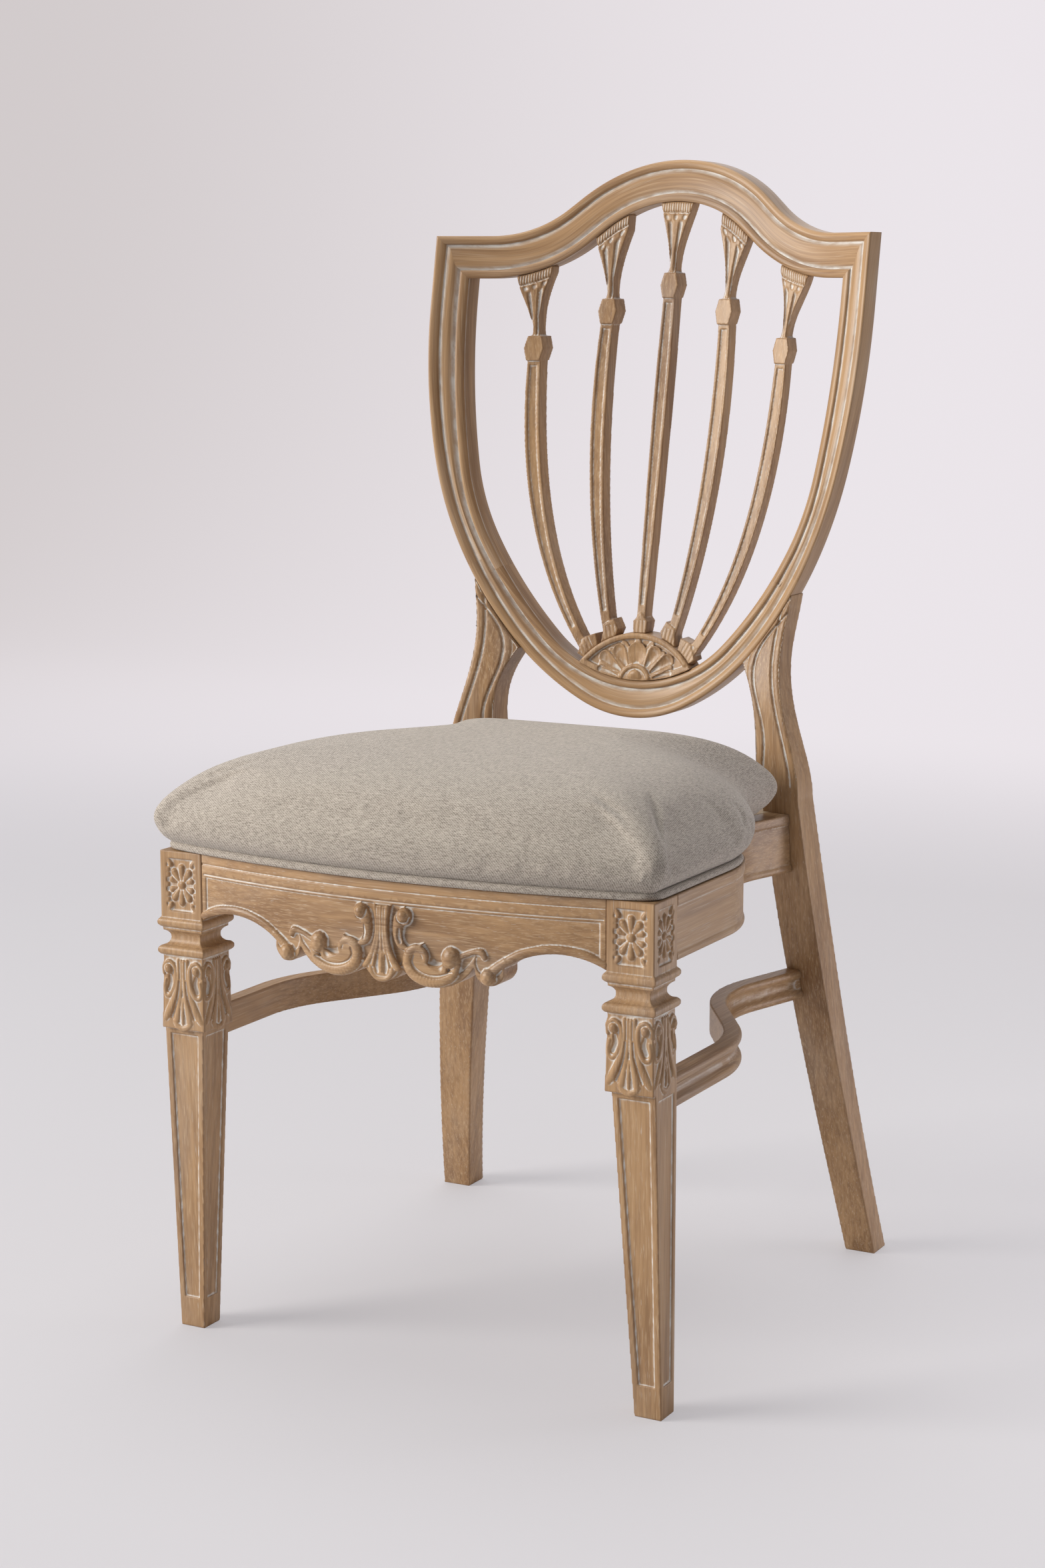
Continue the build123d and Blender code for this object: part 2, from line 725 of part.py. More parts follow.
with BuildSketch() as crest_face:
    add(shield_outer)
    add(shield_inner, mode=Mode.SUBTRACT)
    Polygon(
        (mitre_out.X, mitre_out.Y), (300, 1200), (-300, 1200), (-mitre_out.X, mitre_out.Y),
        (-mitre_in.X, mitre_in.Y), (mitre_in.X, mitre_in.Y),
        align=None, mode=Mode.INTERSECT,
    )
with BuildSketch() as side_face:
    add(shield_outer)
    add(shield_inner, mode=Mode.SUBTRACT)
    Polygon(
        (mitre_out.X, mitre_out.Y), (mitre_in.X, mitre_in.Y), (90, mitre_in.Y), (90, bow_joint),
        (mitre_out.X, bow_joint),
        align=None, mode=Mode.INTERSECT,
    )
with BuildSketch() as bow_face:
    add(shield_outer)
    add(shield_inner, mode=Mode.SUBTRACT)
    with Locations((0, bow_joint)):
        Rectangle(600, 300, align=(Align.CENTER, Align.MAX), mode=Mode.INTERSECT)
with BuildSketch() as mould_face:
    offset(shield_outer, amount=-mould_bead, kind=Kind.INTERSECTION)
    offset(shield_outer, amount=-mould_bead - mould_groove, kind=Kind.INTERSECTION, mode=Mode.SUBTRACT)
    offset(shield_inner, amount=mould_bead + mould_groove, kind=Kind.INTERSECTION)
    offset(shield_inner, amount=mould_bead, kind=Kind.INTERSECTION, mode=Mode.SUBTRACT)
mould_cut = bent(mould_face.sketch, -2, 2 + mould_sink)


def splat_line(stops):
    # foot, two points along the rib, knob and capital in front view
    return [(x, shield_bottom + share * shield_height) for x, share in stops]


outer_splat = splat_line(outer_stops)
inner_splat = splat_line(inner_stops)
centre_splat = splat_line(centre_stops)


def rib_face(points, trim):
    # outline of the rib between the foot and the knob, narrowed by the trim on each side
    stops = [Vector(*point) for point in points[:4]]
    left = []
    right = []
    for index, half in enumerate(rib_halves):
        ahead = stops[min(index + 1, 3)] - stops[max(index - 1, 0)]
        across = Vector(-ahead.Y, ahead.X).normalized() * (half - trim)
        left.append(stops[index] + across)
        right.append(stops[index] - across)
    with BuildSketch() as rib:
        with BuildLine():
            Spline(*left)
            Spline(*right)
            Line(left[0], right[0])
            Line(left[-1], right[-1])
        make_face()
    return rib.sketch


def head_face(points):
    # neck and flared capital above the knob, running on into the crest rail
    knob = Vector(*points[3])
    cap = Vector(*points[4])
    neck = knob + Vector((cap.X - knob.X) * 0.4, knob_rise + 17)
    with BuildSketch() as head:
        with BuildLine():
            Line((knob.X - rib_halves[3], knob.Y), (knob.X + rib_halves[3], knob.Y))
            Spline(
                (knob.X + rib_halves[3], knob.Y),
                (neck.X + neck_half, neck.Y),
                (cap.X + cap_half * 0.72, cap.Y - 17),
                (cap.X + cap_half, cap.Y - 2),
            )
            Polyline(
                (cap.X + cap_half, cap.Y - 2), (cap.X + cap_half, cap.Y + 25),
                (cap.X - cap_half, cap.Y + 25), (cap.X - cap_half, cap.Y - 2),
            )
            Spline(
                (knob.X - rib_halves[3], knob.Y),
                (neck.X - neck_half, neck.Y),
                (cap.X - cap_half * 0.72, cap.Y - 17),
                (cap.X - cap_half, cap.Y - 2),
            )
        make_face()
    return head.sketch


def foot_way(points):
    return (Vector(*points[1]) - Vector(*points[0])).normalized()


def foot_face(points):
    # arrow-shaped block that stands on the half rosette
    way = foot_way(points)
    angle = Vector(0, 1).get_signed_angle(way)
    with BuildSketch() as foot:
        with Locations(Location((points[0][0], points[0][1], 0), (0, 0, angle))):
            Polygon((-5.5, -6), (5.5, -6), (7.2, 10), (0, 18), (-7.2, 10), align=None)
    return foot.sketch


def peg_face(points, gap):
    # tenons at the head and the foot of a splat
    way = foot_way(points)
    angle = Vector(0, 1).get_signed_angle(way)
    with BuildSketch() as pegs:
        with Locations((points[4][0], points[4][1])):
            Rectangle(head_peg[0] + 2 * gap, head_peg[1] + 2 * gap)
        with Locations(Location((points[0][0], points[0][1], 0), (0, 0, angle))):
            Rectangle(foot_peg[0] + 2 * gap, foot_peg[1] + 2 * gap)
    return pegs.sketch


with BuildSketch() as fan_disc:
    with Locations((0, fan_centre)):
        Circle(fan_radius + glue_line)
with BuildSketch() as opening_face:
    offset(shield_inner, amount=-glue_line, kind=Kind.INTERSECTION)


def splat(points):
    with BuildSketch() as knob_face:
        with Locations((points[3][0], points[3][1])):
            Polygon(
                (-6, knob_rise), (-knob_half, 0), (-6, -knob_rise),
                (6, -knob_rise), (knob_half, 0), (6, knob_rise),
                align=None,
            )
    with BuildSketch() as stem_face:
        add(rib_face(points, 0))
        add(head_face(points))
        add(opening_face.sketch, mode=Mode.INTERSECT)
        add(fan_disc.sketch, mode=Mode.SUBTRACT)
    with BuildSketch() as block_face:
        add(foot_face(points))
        add(fan_disc.sketch, mode=Mode.SUBTRACT)
    with BuildSketch() as channel_face:
        add(rib_face(points, channel_wall))
        with Locations(points[0]):
            Circle(channel_start, mode=Mode.SUBTRACT)
        with Locations(points[3]):
            Circle(knob_rise + 4, mode=Mode.SUBTRACT)
    with BuildPart() as piece:
        add(bent(stem_face.sketch, splat_set, splat_depth))
        add(bent(channel_face.sketch, splat_set - 3, 3 + channel_sink), mode=Mode.SUBTRACT)
        add(bent(knob_face.sketch, splat_set - knob_proud, splat_depth + 2 * knob_proud))
        add(bent(block_face.sketch, splat_set - 1, splat_depth + 2))
        add(bent(peg_face(points, 0), peg_set, peg_depth))
    return piece.part


splat_pegs = []
for points in (outer_splat, inner_splat, centre_splat):
    hole = bent(peg_face(points, mortise_gap), peg_set - mortise_gap, peg_depth + 2 * mortise_gap)
    splat_pegs.append(hole)
    if points is not centre_splat:
        splat_pegs.append(twin(hole))

# Dowels of the back: start, direction and half length of each, on the right-hand side
mid_depth = back_depth / 2


def back_point(x, z):
    return Vector(x, bend_y(x, z) + mid_depth, z)


def back_way(x, z, dx, dz):
    # a direction within the bent back
    step = 1.0
    start = Vector(x, bend_y(x, z), z)
    end = Vector(x + dx * step, bend_y(x + dx * step, z + dz * step), z + dz * step)
    return (end - start).normalized()


mitre_spot = (Vector(outer_corner.X, outer_corner.Y) + Vector(inner_corner.X, inner_corner.Y)) * 0.5
joint_x = joint_dowel * shield_height
post_z = shield_bottom + post_dowel_rise
fan_dowel_z = shield_bottom + bow_width + 2.5
back_dowels = [
    (back_point(mitre_spot.X, mitre_spot.Y), back_way(mitre_spot.X, mitre_spot.Y, mitre.Y, -mitre.X), 10.0),
    (back_point(joint_x, bow_joint), back_way(joint_x, bow_joint, cos(radians(61)), sin(radians(61))), 18.0),
    (back_point(post_x, post_z), back_way(post_x, post_z, -0.788, 0.616), 13.0),
    (back_point(fan_dowel_x, fan_dowel_z), back_way(fan_dowel_x, fan_dowel_z, 0, 1), 10.0),
]
dowel_holes = []
for start, direction, half in back_dowels:
    hole = rod(start, direction, dowel_radius + dowel_gap, half + dowel_gap, half + dowel_gap)
    dowel_holes.append(hole)
    dowel_holes.append(twin(hole))
with BuildPart() as dowels:
    for start, direction, half in back_dowels:
        peg = rod(start, direction, dowel_radius, half, half)
        add(peg)
        add(twin(peg))
dowels.part.label = "dowels"

# Shield frame
with BuildPart() as crest_rail:
    add(bent(crest_face.sketch, 0, back_depth))
    add(mould_cut, mode=Mode.SUBTRACT)
    for hole in splat_pegs + dowel_holes:
        add(hole, mode=Mode.SUBTRACT)
crest_rail.part.label = "crest_rail"

with BuildPart() as shield_side_right:
    add(bent(side_face.sketch, 0, back_depth))
    add(mould_cut, mode=Mode.SUBTRACT)
    for hole in dowel_holes:
        add(hole, mode=Mode.SUBTRACT)
shield_side_right.part.label = "shield_side_right"

with BuildPart() as shield_side_left:
    add(twin(shield_side_right.part))
shield_side_left.part.label = "shield_side_left"

with BuildPart() as shield_bow:
    add(bent(bow_face.sketch, 0, back_depth))
    add(mould_cut, mode=Mode.SUBTRACT)
    for hole in dowel_holes:
        add(hole, mode=Mode.SUBTRACT)
shield_bow.part.label = "shield_bow"

# Half rosette on the bow
hub_z = shield_bottom + bow_width - 3
with BuildSketch() as fan_face:
    with Locations((0, fan_centre)):
        Circle(fan_radius)
    add(opening_face.sketch, mode=Mode.INTERSECT)
with BuildSketch() as fan_field:
    offset(fan_face.sketch, amount=-fan_rim, kind=Kind.INTERSECTION)
    with Locations((0, hub_z)):
        Circle(fan_hub, mode=Mode.SUBTRACT)
with BuildSketch() as petal_face:
    for index in range(petal_count):
        angle = 90 + (index - (petal_count - 1) / 2) * 150 / petal_count
        reach = fan_hub + 13
        spot = (reach * cos(radians(angle)), hub_z + reach * sin(radians(angle)))
        with Locations(Location((spot[0], spot[1], 0), (0, 0, angle))):
            Ellipse(*petal_half)
    add(fan_field.sketch, mode=Mode.INTERSECT)
with BuildPart() as fan:
    add(bent(fan_face.sketch, -1, fan_depth))
    add(bent(fan_field.sketch, -3, 2 + fan_sink), mode=Mode.SUBTRACT)
    add(bent(petal_face.sketch, 0.5, 4))
    for hole in splat_pegs + dowel_holes:
        add(hole, mode=Mode.SUBTRACT)
fan.part.label = "fan"

with BuildPart() as splat_1:
    add(twin(splat(outer_splat)))
splat_1.part.label = "splat_1"

with BuildPart() as splat_2:
    add(twin(splat(inner_splat)))
splat_2.part.label = "splat_2"

with BuildPart() as splat_3:
    add(splat(centre_splat))
splat_3.part.label = "splat_3"

with BuildPart() as splat_4:
    add(splat(inner_splat))
splat_4.part.label = "splat_4"

with BuildPart() as splat_5:
    add(splat(outer_splat))
splat_5.part.label = "splat_5"

# Rear legs: cut to the outside of the shield, with the mortises of the rails and the stretcher
with BuildSketch() as shield_seat:
    offset(shield_outer, amount=glue_line, kind=Kind.INTERSECTION)
with BuildPart() as rear_leg_right:
    add(rear_leg_blank.part)
    with BuildSketch(Plane.XZ):
        add(shield_seat.sketch)
    extrude(amount=900.0, both=True, mode=Mode.SUBTRACT)
    add(joint_beam(tail_point, tail_dir, tenon_length, tenon_height, 40.0, mortise_gap), mode=Mode.SUBTRACT)
    add(
        joint_beam(run_point, run_dir, stretcher_tenon, stretcher_tenon, 40.0, mortise_gap),
        mode=Mode.SUBTRACT,
    )
    add(
        joint_beam(rear_tenon, Vector(1, 0, 0), tenon_length, tenon_height, 40.0, mortise_gap),
        mode=Mode.SUBTRACT,
    )
    for hole in dowel_holes:
        add(hole, mode=Mode.SUBTRACT)
rear_leg_right.part.label = "rear_leg_right"

with BuildPart() as rear_leg_left:
    add(twin(rear_leg_right.part))
rear_leg_left.part.label = "rear_leg_left"

# Front legs with their mortises
with BuildPart() as front_leg_right:
    add(front_leg_blank.part)
    add(joint_beam(head_point, head_dir, tenon_length, tenon_height, 30.0, mortise_gap), mode=Mode.SUBTRACT)
    add(
        joint_beam(toe_point, head_dir, stretcher_tenon, stretcher_tenon, 30.0, mortise_gap),
        mode=Mode.SUBTRACT,
    )
    add(
        joint_beam(apron_tenon, Vector(1, 0, 0), tenon_length, tenon_height, 30.0, mortise_gap),
        mode=Mode.SUBTRACT,
    )
front_leg_right.part.label = "front_leg_right"

with BuildPart() as front_leg_left:
    add(twin(front_leg_right.part))
front_leg_left.part.label = "front_leg_left"

# Corner blocks and their screws
with BuildPart() as rail_screw_set:
    for start, direction in rail_screws:
        fixing = screw(start, direction, rail_screw_length)
        add(fixing)
        add(twin(fixing))
rail_screw_set.part.label = "rail_screws"

with BuildPart() as seat_screw_set:
    for start in (front_screw, rear_screw):
        fixing = screw(start, up, seat_screw_length)
        add(fixing)
        add(twin(fixing))
seat_screw_set.part.label = "seat_screws"

with BuildPart() as front_block_body:
    with BuildSketch(Plane.XY.offset(block_low)):
        Polygon(
            (rail_x - rail_thick + 6, end_y),
            (rail_x - rail_thick + 6, front_y + block_half + 76),
            (leg_x - block_half - 90, end_y),
            align=None,
        )
    extrude(amount=block_height)
    add(front_rail_body.part.moved(Location((0, glue_line, 0))), mode=Mode.SUBTRACT)
    add(side_rail_body.part.moved(Location((-glue_line, 0, 0))), mode=Mode.SUBTRACT)
    add(front_leg_blank.part.moved(Location((-glue_line, glue_line, 0))), mode=Mode.SUBTRACT)
with BuildPart() as corner_block_front_right:
    add(largest(front_block_body.part))
    for hole in screw_holes + seat_holes:
        add(hole, mode=Mode.SUBTRACT)
corner_block_front_right.part.label = "corner_block_front_right"

with BuildPart() as corner_block_front_left:
    add(twin(corner_block_front_right.part))
corner_block_front_left.part.label = "corner_block_front_left"

with BuildPart() as rear_block_body:
    with BuildSketch(Plane.XY.offset(block_low)):
        Polygon(
            (rear_gauge + 20, front_y + rear_rail_set + 4),
            (rear_gauge + 20, front_y + rear_rail_set - 100),
            (rear_gauge - 70, front_y + rear_rail_set + 4),
            align=None,
        )
    extrude(amount=block_height)
    add(rear_rail_body.part.moved(Location((0, -glue_line, 0))), mode=Mode.SUBTRACT)
    add(side_rail_body.part.moved(Location((-glue_line, 0, 0))), mode=Mode.SUBTRACT)
    add(rear_leg_blank.part.moved(Location((-glue_line, -glue_line, 0))), mode=Mode.SUBTRACT)
with BuildPart() as corner_block_rear_right:
    add(largest(rear_block_body.part))
    for hole in screw_holes + seat_holes:
        add(hole, mode=Mode.SUBTRACT)
corner_block_rear_right.part.label = "corner_block_rear_right"

with BuildPart() as corner_block_rear_left:
    add(twin(corner_block_rear_right.part))
corner_block_rear_left.part.label = "corner_block_rear_left"

with BuildPart() as side_rail_left:
    add(twin(side_rail_right.part))
side_rail_left.part.label = "side_rail_left"

with BuildPart() as stretcher_left:
    add(twin(stretcher_right.part))
stretcher_left.part.label = "stretcher_left"

# Seat outline from above: the rails' path, let out or taken in, with a bowed front


def seat_face(grow):
    side_x = rail_x + grow
    nose_y = front_y - seat_nose - grow
    wing_y = nose_y + seat_bow
    rear_edge = front_y + seat_back + grow
    with BuildSketch() as seat:
        with BuildLine():
            first = Line((side_x, wing_y), (side_x, front_y + shoulder_start))
            shoulder = JernArc(first @ 1, first % 1, shoulder_radius + grow, shoulder_turn)
            middle = Line(shoulder @ 1, shoulder @ 1 + (shoulder % 1) * shoulder_run)
            hollow = JernArc(middle @ 1, middle % 1, hollow_radius - grow, -shoulder_turn - seat_tail)
            way = hollow % 1
            tail = Line(hollow @ 1, hollow @ 1 + way * ((rear_edge - (hollow @ 1).Y) / way.Y))
            mirror(about=Plane.YZ)
            ThreePointArc((-side_x, wing_y), (0, nose_y), (side_x, wing_y))
            Line(tail @ 1, (-(tail @ 1).X, rear_edge))
        make_face()
        corners = [spot for spot in seat.vertices() if not wing_y + 1 < spot.Y < rear_edge - 1]
        fillet(corners, seat_corner)
    return seat.sketch


board_top = seat_height + board_thick
with BuildPart() as seat_board:
    with BuildSketch(Plane.XY.offset(seat_height)):
        add(seat_face(-board_inset))
    extrude(amount=board_thick)
    for hole in seat_holes:
        add(hole, mode=Mode.SUBTRACT)
seat_board.part.label = "seat_board"

# Cushion: drawn in at the bottom, full at the sides and crowned on top
# Each ring has its share of the height, how far the outline is let out and its scale
pad_low = board_top + cushion_gap
pad_mid = front_y + (seat_back - seat_nose) / 2
pad_side = [(0.0, 6.0, 1.0), (0.15, cushion_full, 1.0), (0.34, 6.0, 1.0)]
pad_crown = [(0.34, 6.0, 1.0), (0.58, 6.0, 0.87), (0.85, 6.0, 0.60), (1.0, 6.0, 0.28)]
with BuildPart() as seat_cushion:
    for rings in (pad_side, pad_crown):
        for share, grow, size in rings:
            ring_z = pad_low + share * cushion_rise
            with BuildSketch(Plane(origin=(0, pad_mid * (1 - size), ring_z))):
                add(seat_face(grow))
                scale(by=size)
        loft()
seat_cushion.part.label = "seat_cushion"

# Welt along the front and sides of the seat, ending where the sides turn in
welt_z = seat_height + welt_radius + cushion_gap
welt_stop = front_y + shoulder_start + 60
welt_edges = [edge for edge in seat_face(-welt_radius).edges() if edge.center().Y < welt_stop]
with BuildPart() as welt:
    with BuildLine() as welt_path:
        add(Wire(welt_edges).moved(Location((0, 0, welt_z))))
    with BuildSketch(Plane(origin=welt_path.wire() @ 0, z_dir=welt_path.wire() % 0)):
        Circle(welt_radius)
    sweep(path=welt_path.wire())
welt.part.label = "welt"

export_step(front_leg_left.part, "parts/front_leg_left.step")
export_step(front_leg_right.part, "parts/front_leg_right.step")
export_step(rear_leg_left.part, "parts/rear_leg_left.step")
export_step(rear_leg_right.part, "parts/rear_leg_right.step")
export_step(front_rail.part, "parts/front_rail.step")
export_step(rear_rail.part, "parts/rear_rail.step")
export_step(side_rail_left.part, "parts/side_rail_left.step")
export_step(side_rail_right.part, "parts/side_rail_right.step")
export_step(stretcher_left.part, "parts/stretcher_left.step")
export_step(stretcher_right.part, "parts/stretcher_right.step")
export_step(crest_rail.part, "parts/crest_rail.step")
export_step(shield_side_left.part, "parts/shield_side_left.step")
export_step(shield_side_right.part, "parts/shield_side_right.step")
export_step(shield_bow.part, "parts/shield_bow.step")
export_step(fan.part, "parts/fan.step")
export_step(splat_1.part, "parts/splat_1.step")
export_step(splat_2.part, "parts/splat_2.step")
export_step(splat_3.part, "parts/splat_3.step")
export_step(splat_4.part, "parts/splat_4.step")
export_step(splat_5.part, "parts/splat_5.step")
export_step(dowels.part, "parts/dowels.step")
export_step(corner_block_front_left.part, "parts/corner_block_front_left.step")
export_step(corner_block_front_right.part, "parts/corner_block_front_right.step")
export_step(corner_block_rear_left.part, "parts/corner_block_rear_left.step")
export_step(corner_block_rear_right.part, "parts/corner_block_rear_right.step")
export_step(rail_screw_set.part, "parts/rail_screws.step")
export_step(seat_screw_set.part, "parts/seat_screws.step")
export_step(seat_board.part, "parts/seat_board.step")
export_step(seat_cushion.part, "parts/seat_cushion.step")
export_step(welt.part, "parts/welt.step")
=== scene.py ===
import math

import bmesh
import bpy
import numpy as np
from mathutils import Matrix, Vector


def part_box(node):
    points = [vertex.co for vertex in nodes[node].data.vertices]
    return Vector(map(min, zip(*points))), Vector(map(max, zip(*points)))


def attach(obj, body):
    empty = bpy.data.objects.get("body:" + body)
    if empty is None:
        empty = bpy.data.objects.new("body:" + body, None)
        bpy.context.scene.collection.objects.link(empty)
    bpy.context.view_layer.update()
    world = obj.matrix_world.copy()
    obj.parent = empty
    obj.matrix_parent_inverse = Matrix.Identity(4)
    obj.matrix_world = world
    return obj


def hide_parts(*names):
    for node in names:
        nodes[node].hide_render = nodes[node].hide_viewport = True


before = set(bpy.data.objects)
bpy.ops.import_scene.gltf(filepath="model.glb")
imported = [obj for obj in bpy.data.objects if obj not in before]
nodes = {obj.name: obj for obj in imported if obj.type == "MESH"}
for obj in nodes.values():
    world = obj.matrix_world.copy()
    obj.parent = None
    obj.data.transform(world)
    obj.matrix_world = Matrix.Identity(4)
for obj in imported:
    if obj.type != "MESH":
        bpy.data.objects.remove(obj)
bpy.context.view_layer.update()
scene = bpy.context.scene
scene.view_settings.view_transform = "Standard"
mm = 0.001
print("frame loaded,", len(nodes), "nodes")

# camera where the photograph was taken from, image 1568 x 2352
cameraSet = {"lens": 66.12, "sensor": 36, "place": (1.118, -2.1147, 0.853), "yaw": 28.32, "pitch": 9.76}


def addCamera():
    lens = bpy.data.cameras.new("photoCamera")
    lens.lens = cameraSet["lens"]
    lens.sensor_width = cameraSet["sensor"]
    eye = bpy.data.objects.new("photoCamera", lens)
    eye.location = cameraSet["place"]
    eye.rotation_euler = (math.radians(90 - cameraSet["pitch"]), 0, math.radians(cameraSet["yaw"]))
    scene.collection.objects.link(eye)
    scene.camera = eye


addCamera()

# node helpers
def tune(tree, node, values):
    # inputs by name or number, each from a socket or as a plain value
    for key, value in values.items():
        if isinstance(value, bpy.types.NodeSocket):
            tree.links.new(value, node.inputs[key])
        else:
            node.inputs[key].default_value = value


def put(tree, kind, values=None, **settings):
    made = tree.nodes.new(kind)
    for key, value in settings.items():
        setattr(made, key, value)
    tune(tree, made, values or {})
    return made


def calc(tree, operation, *values):
    return put(tree, "ShaderNodeMath", dict(enumerate(values)), operation=operation).outputs[0]


def share(tree, value, part):
    return calc(tree, "MULTIPLY", value, part)


def blendColour(tree, factor, first, second):
    first, second = [(*value, 1) if isinstance(value, tuple) else value for value in (first, second)]
    return put(tree, "ShaderNodeMix", {0: factor, 6: first, 7: second}, data_type="RGBA").outputs[2]


def soften(tree, value, low, high):
    values = {"Value": value, "From Min": low, "From Max": high}
    return put(tree, "ShaderNodeMapRange", values, interpolation_type="SMOOTHSTEP").outputs["Result"]


def stretched(tree, place, scale):
    return put(tree, "ShaderNodeMapping", {"Vector": place, "Scale": scale}).outputs["Vector"]


def noise(tree, place, *values):
    # the values are scale, detail, roughness and distortion, as far as they are given
    words = ("Vector", "Scale", "Detail", "Roughness", "Distortion")
    return put(tree, "ShaderNodeTexNoise", dict(zip(words, (place, *values)))).outputs["Fac"]


def streaks(tree, place, settings):
    # noise drawn out along the pattern's length: stretch, scale, detail, roughness, distortion
    return noise(tree, stretched(tree, place, (1, 1, settings[0])), *settings[1:])


def newGroup(name):
    group = bpy.data.node_groups.new(name, "ShaderNodeTree")
    for word, way, kind in (
        ("Place", "INPUT", "Vector"), ("Cavity", "INPUT", "Float"),
        ("Colour", "OUTPUT", "Color"), ("Roughness", "OUTPUT", "Float"), ("Height", "OUTPUT", "Float"),
    ):
        group.interface.new_socket(word, in_out=way, socket_type="NodeSocket" + kind)
    source = group.nodes.new("NodeGroupInput")
    return group, source.outputs["Place"], source.outputs["Cavity"]


def closeGroup(group, *values):
    put(group, "NodeGroupOutput", dict(enumerate(values)))
    return group


def newCoat(name):
    coat = bpy.data.materials.new(name)
    coat.use_nodes = True
    return coat, coat.node_tree, coat.node_tree.nodes["Principled BSDF"]


def makeObject(bm, name):
    # a smooth shaded object in the scene from a finished form
    mesh = bpy.data.meshes.new(name)
    bm.to_mesh(mesh)
    bm.free()
    mesh.polygons.foreach_set("use_smooth", [True] * len(mesh.polygons))
    made = bpy.data.objects.new(name, mesh)
    scene.collection.objects.link(made)
    return made


# pale studio: a floor that sweeps up into a wall, soft lamps and a pale surround
studioSet = {
    "paper": (0.66, 0.65, 0.67), "wallY": 5.0, "cove": 1.6, "half": 9.0,
    "world": (0.80, 0.79, 0.82), "worldPower": 0.40, "nearShare": 0.5,
    # painted light: the paper's camera-only glow runs from darker at the left to lighter at the right, and
    # near the chair it half covers the cast shadow
    "nearLeft": (0.63, 0.61, 0.635), "nearRight": (0.78, 0.755, 0.78), "nearFrom": -0.8, "nearTo": 1.0,
    "wallLeft": (0.645, 0.60, 0.605), "wallRight": (0.83, 0.785, 0.82),
    "wallFrom": 0.3, "wallFull": 3.2, "leftX": -4.6, "rightX": -1.3,
    "steps": 16, "wallTall": 6.0, "roughness": 0.9, "specular": 0.1,
}
lampSet = [
    # place, aim, size, power, colour
    ((-3.4, -2.8, 2.2), (0, 0, 0.35), 2.4, 232, (1.0, 0.965, 0.92)),
    ((0.95, 0.55, 0.25), (0.2, 0.2, 0.25), 0.5, 2.7, (1.0, 0.93, 0.95)),
    ((-0.4, 0.35, 3.0), (0, 0, 0.4), 2.2, 34, (1.0, 0.99, 0.98)),
    ((-0.9, 3.0, 2.2), (0, 0, 0.7), 2.0, 8, (0.97, 0.97, 1.0)),
]


def paintWall(tree, shader):
    # painted light: for camera rays the paper glows, darker at the left and lighter at the right as a painted
    # falloff of light; near the chair the glow covers half of the lit floor, which paints the cast shadow
    # fainter, and far away it covers all of it
    kit = studioSet
    path = put(tree, "ShaderNodeLightPath")
    where = put(tree, "ShaderNodeTexCoord").outputs["Object"]
    split = put(tree, "ShaderNodeSeparateXYZ", {0: where})
    size = put(tree, "ShaderNodeVectorMath", {0: where}, operation="LENGTH")
    behind = soften(tree, split.outputs[1], kit["wallFrom"], kit["wallFull"])
    around = soften(tree, size.outputs["Value"], kit["wallFrom"], kit["wallFull"])
    far = calc(tree, "MAXIMUM", around, kit["nearShare"])
    side = soften(tree, split.outputs[0], kit["leftX"], kit["rightX"])
    wall = blendColour(tree, side, kit["wallLeft"], kit["wallRight"])
    nearSide = soften(tree, split.outputs[0], kit["nearFrom"], kit["nearTo"])
    floor = blendColour(tree, nearSide, kit["nearLeft"], kit["nearRight"])
    glow = put(tree, "ShaderNodeEmission", {"Color": blendColour(tree, behind, floor, wall)})
    seen = share(tree, path.outputs["Is Camera Ray"], far)
    mixed = put(tree, "ShaderNodeMixShader", {0: seen, 1: shader.outputs[0], 2: glow.outputs[0]})
    tune(tree, tree.nodes["Material Output"], {"Surface": mixed.outputs[0]})


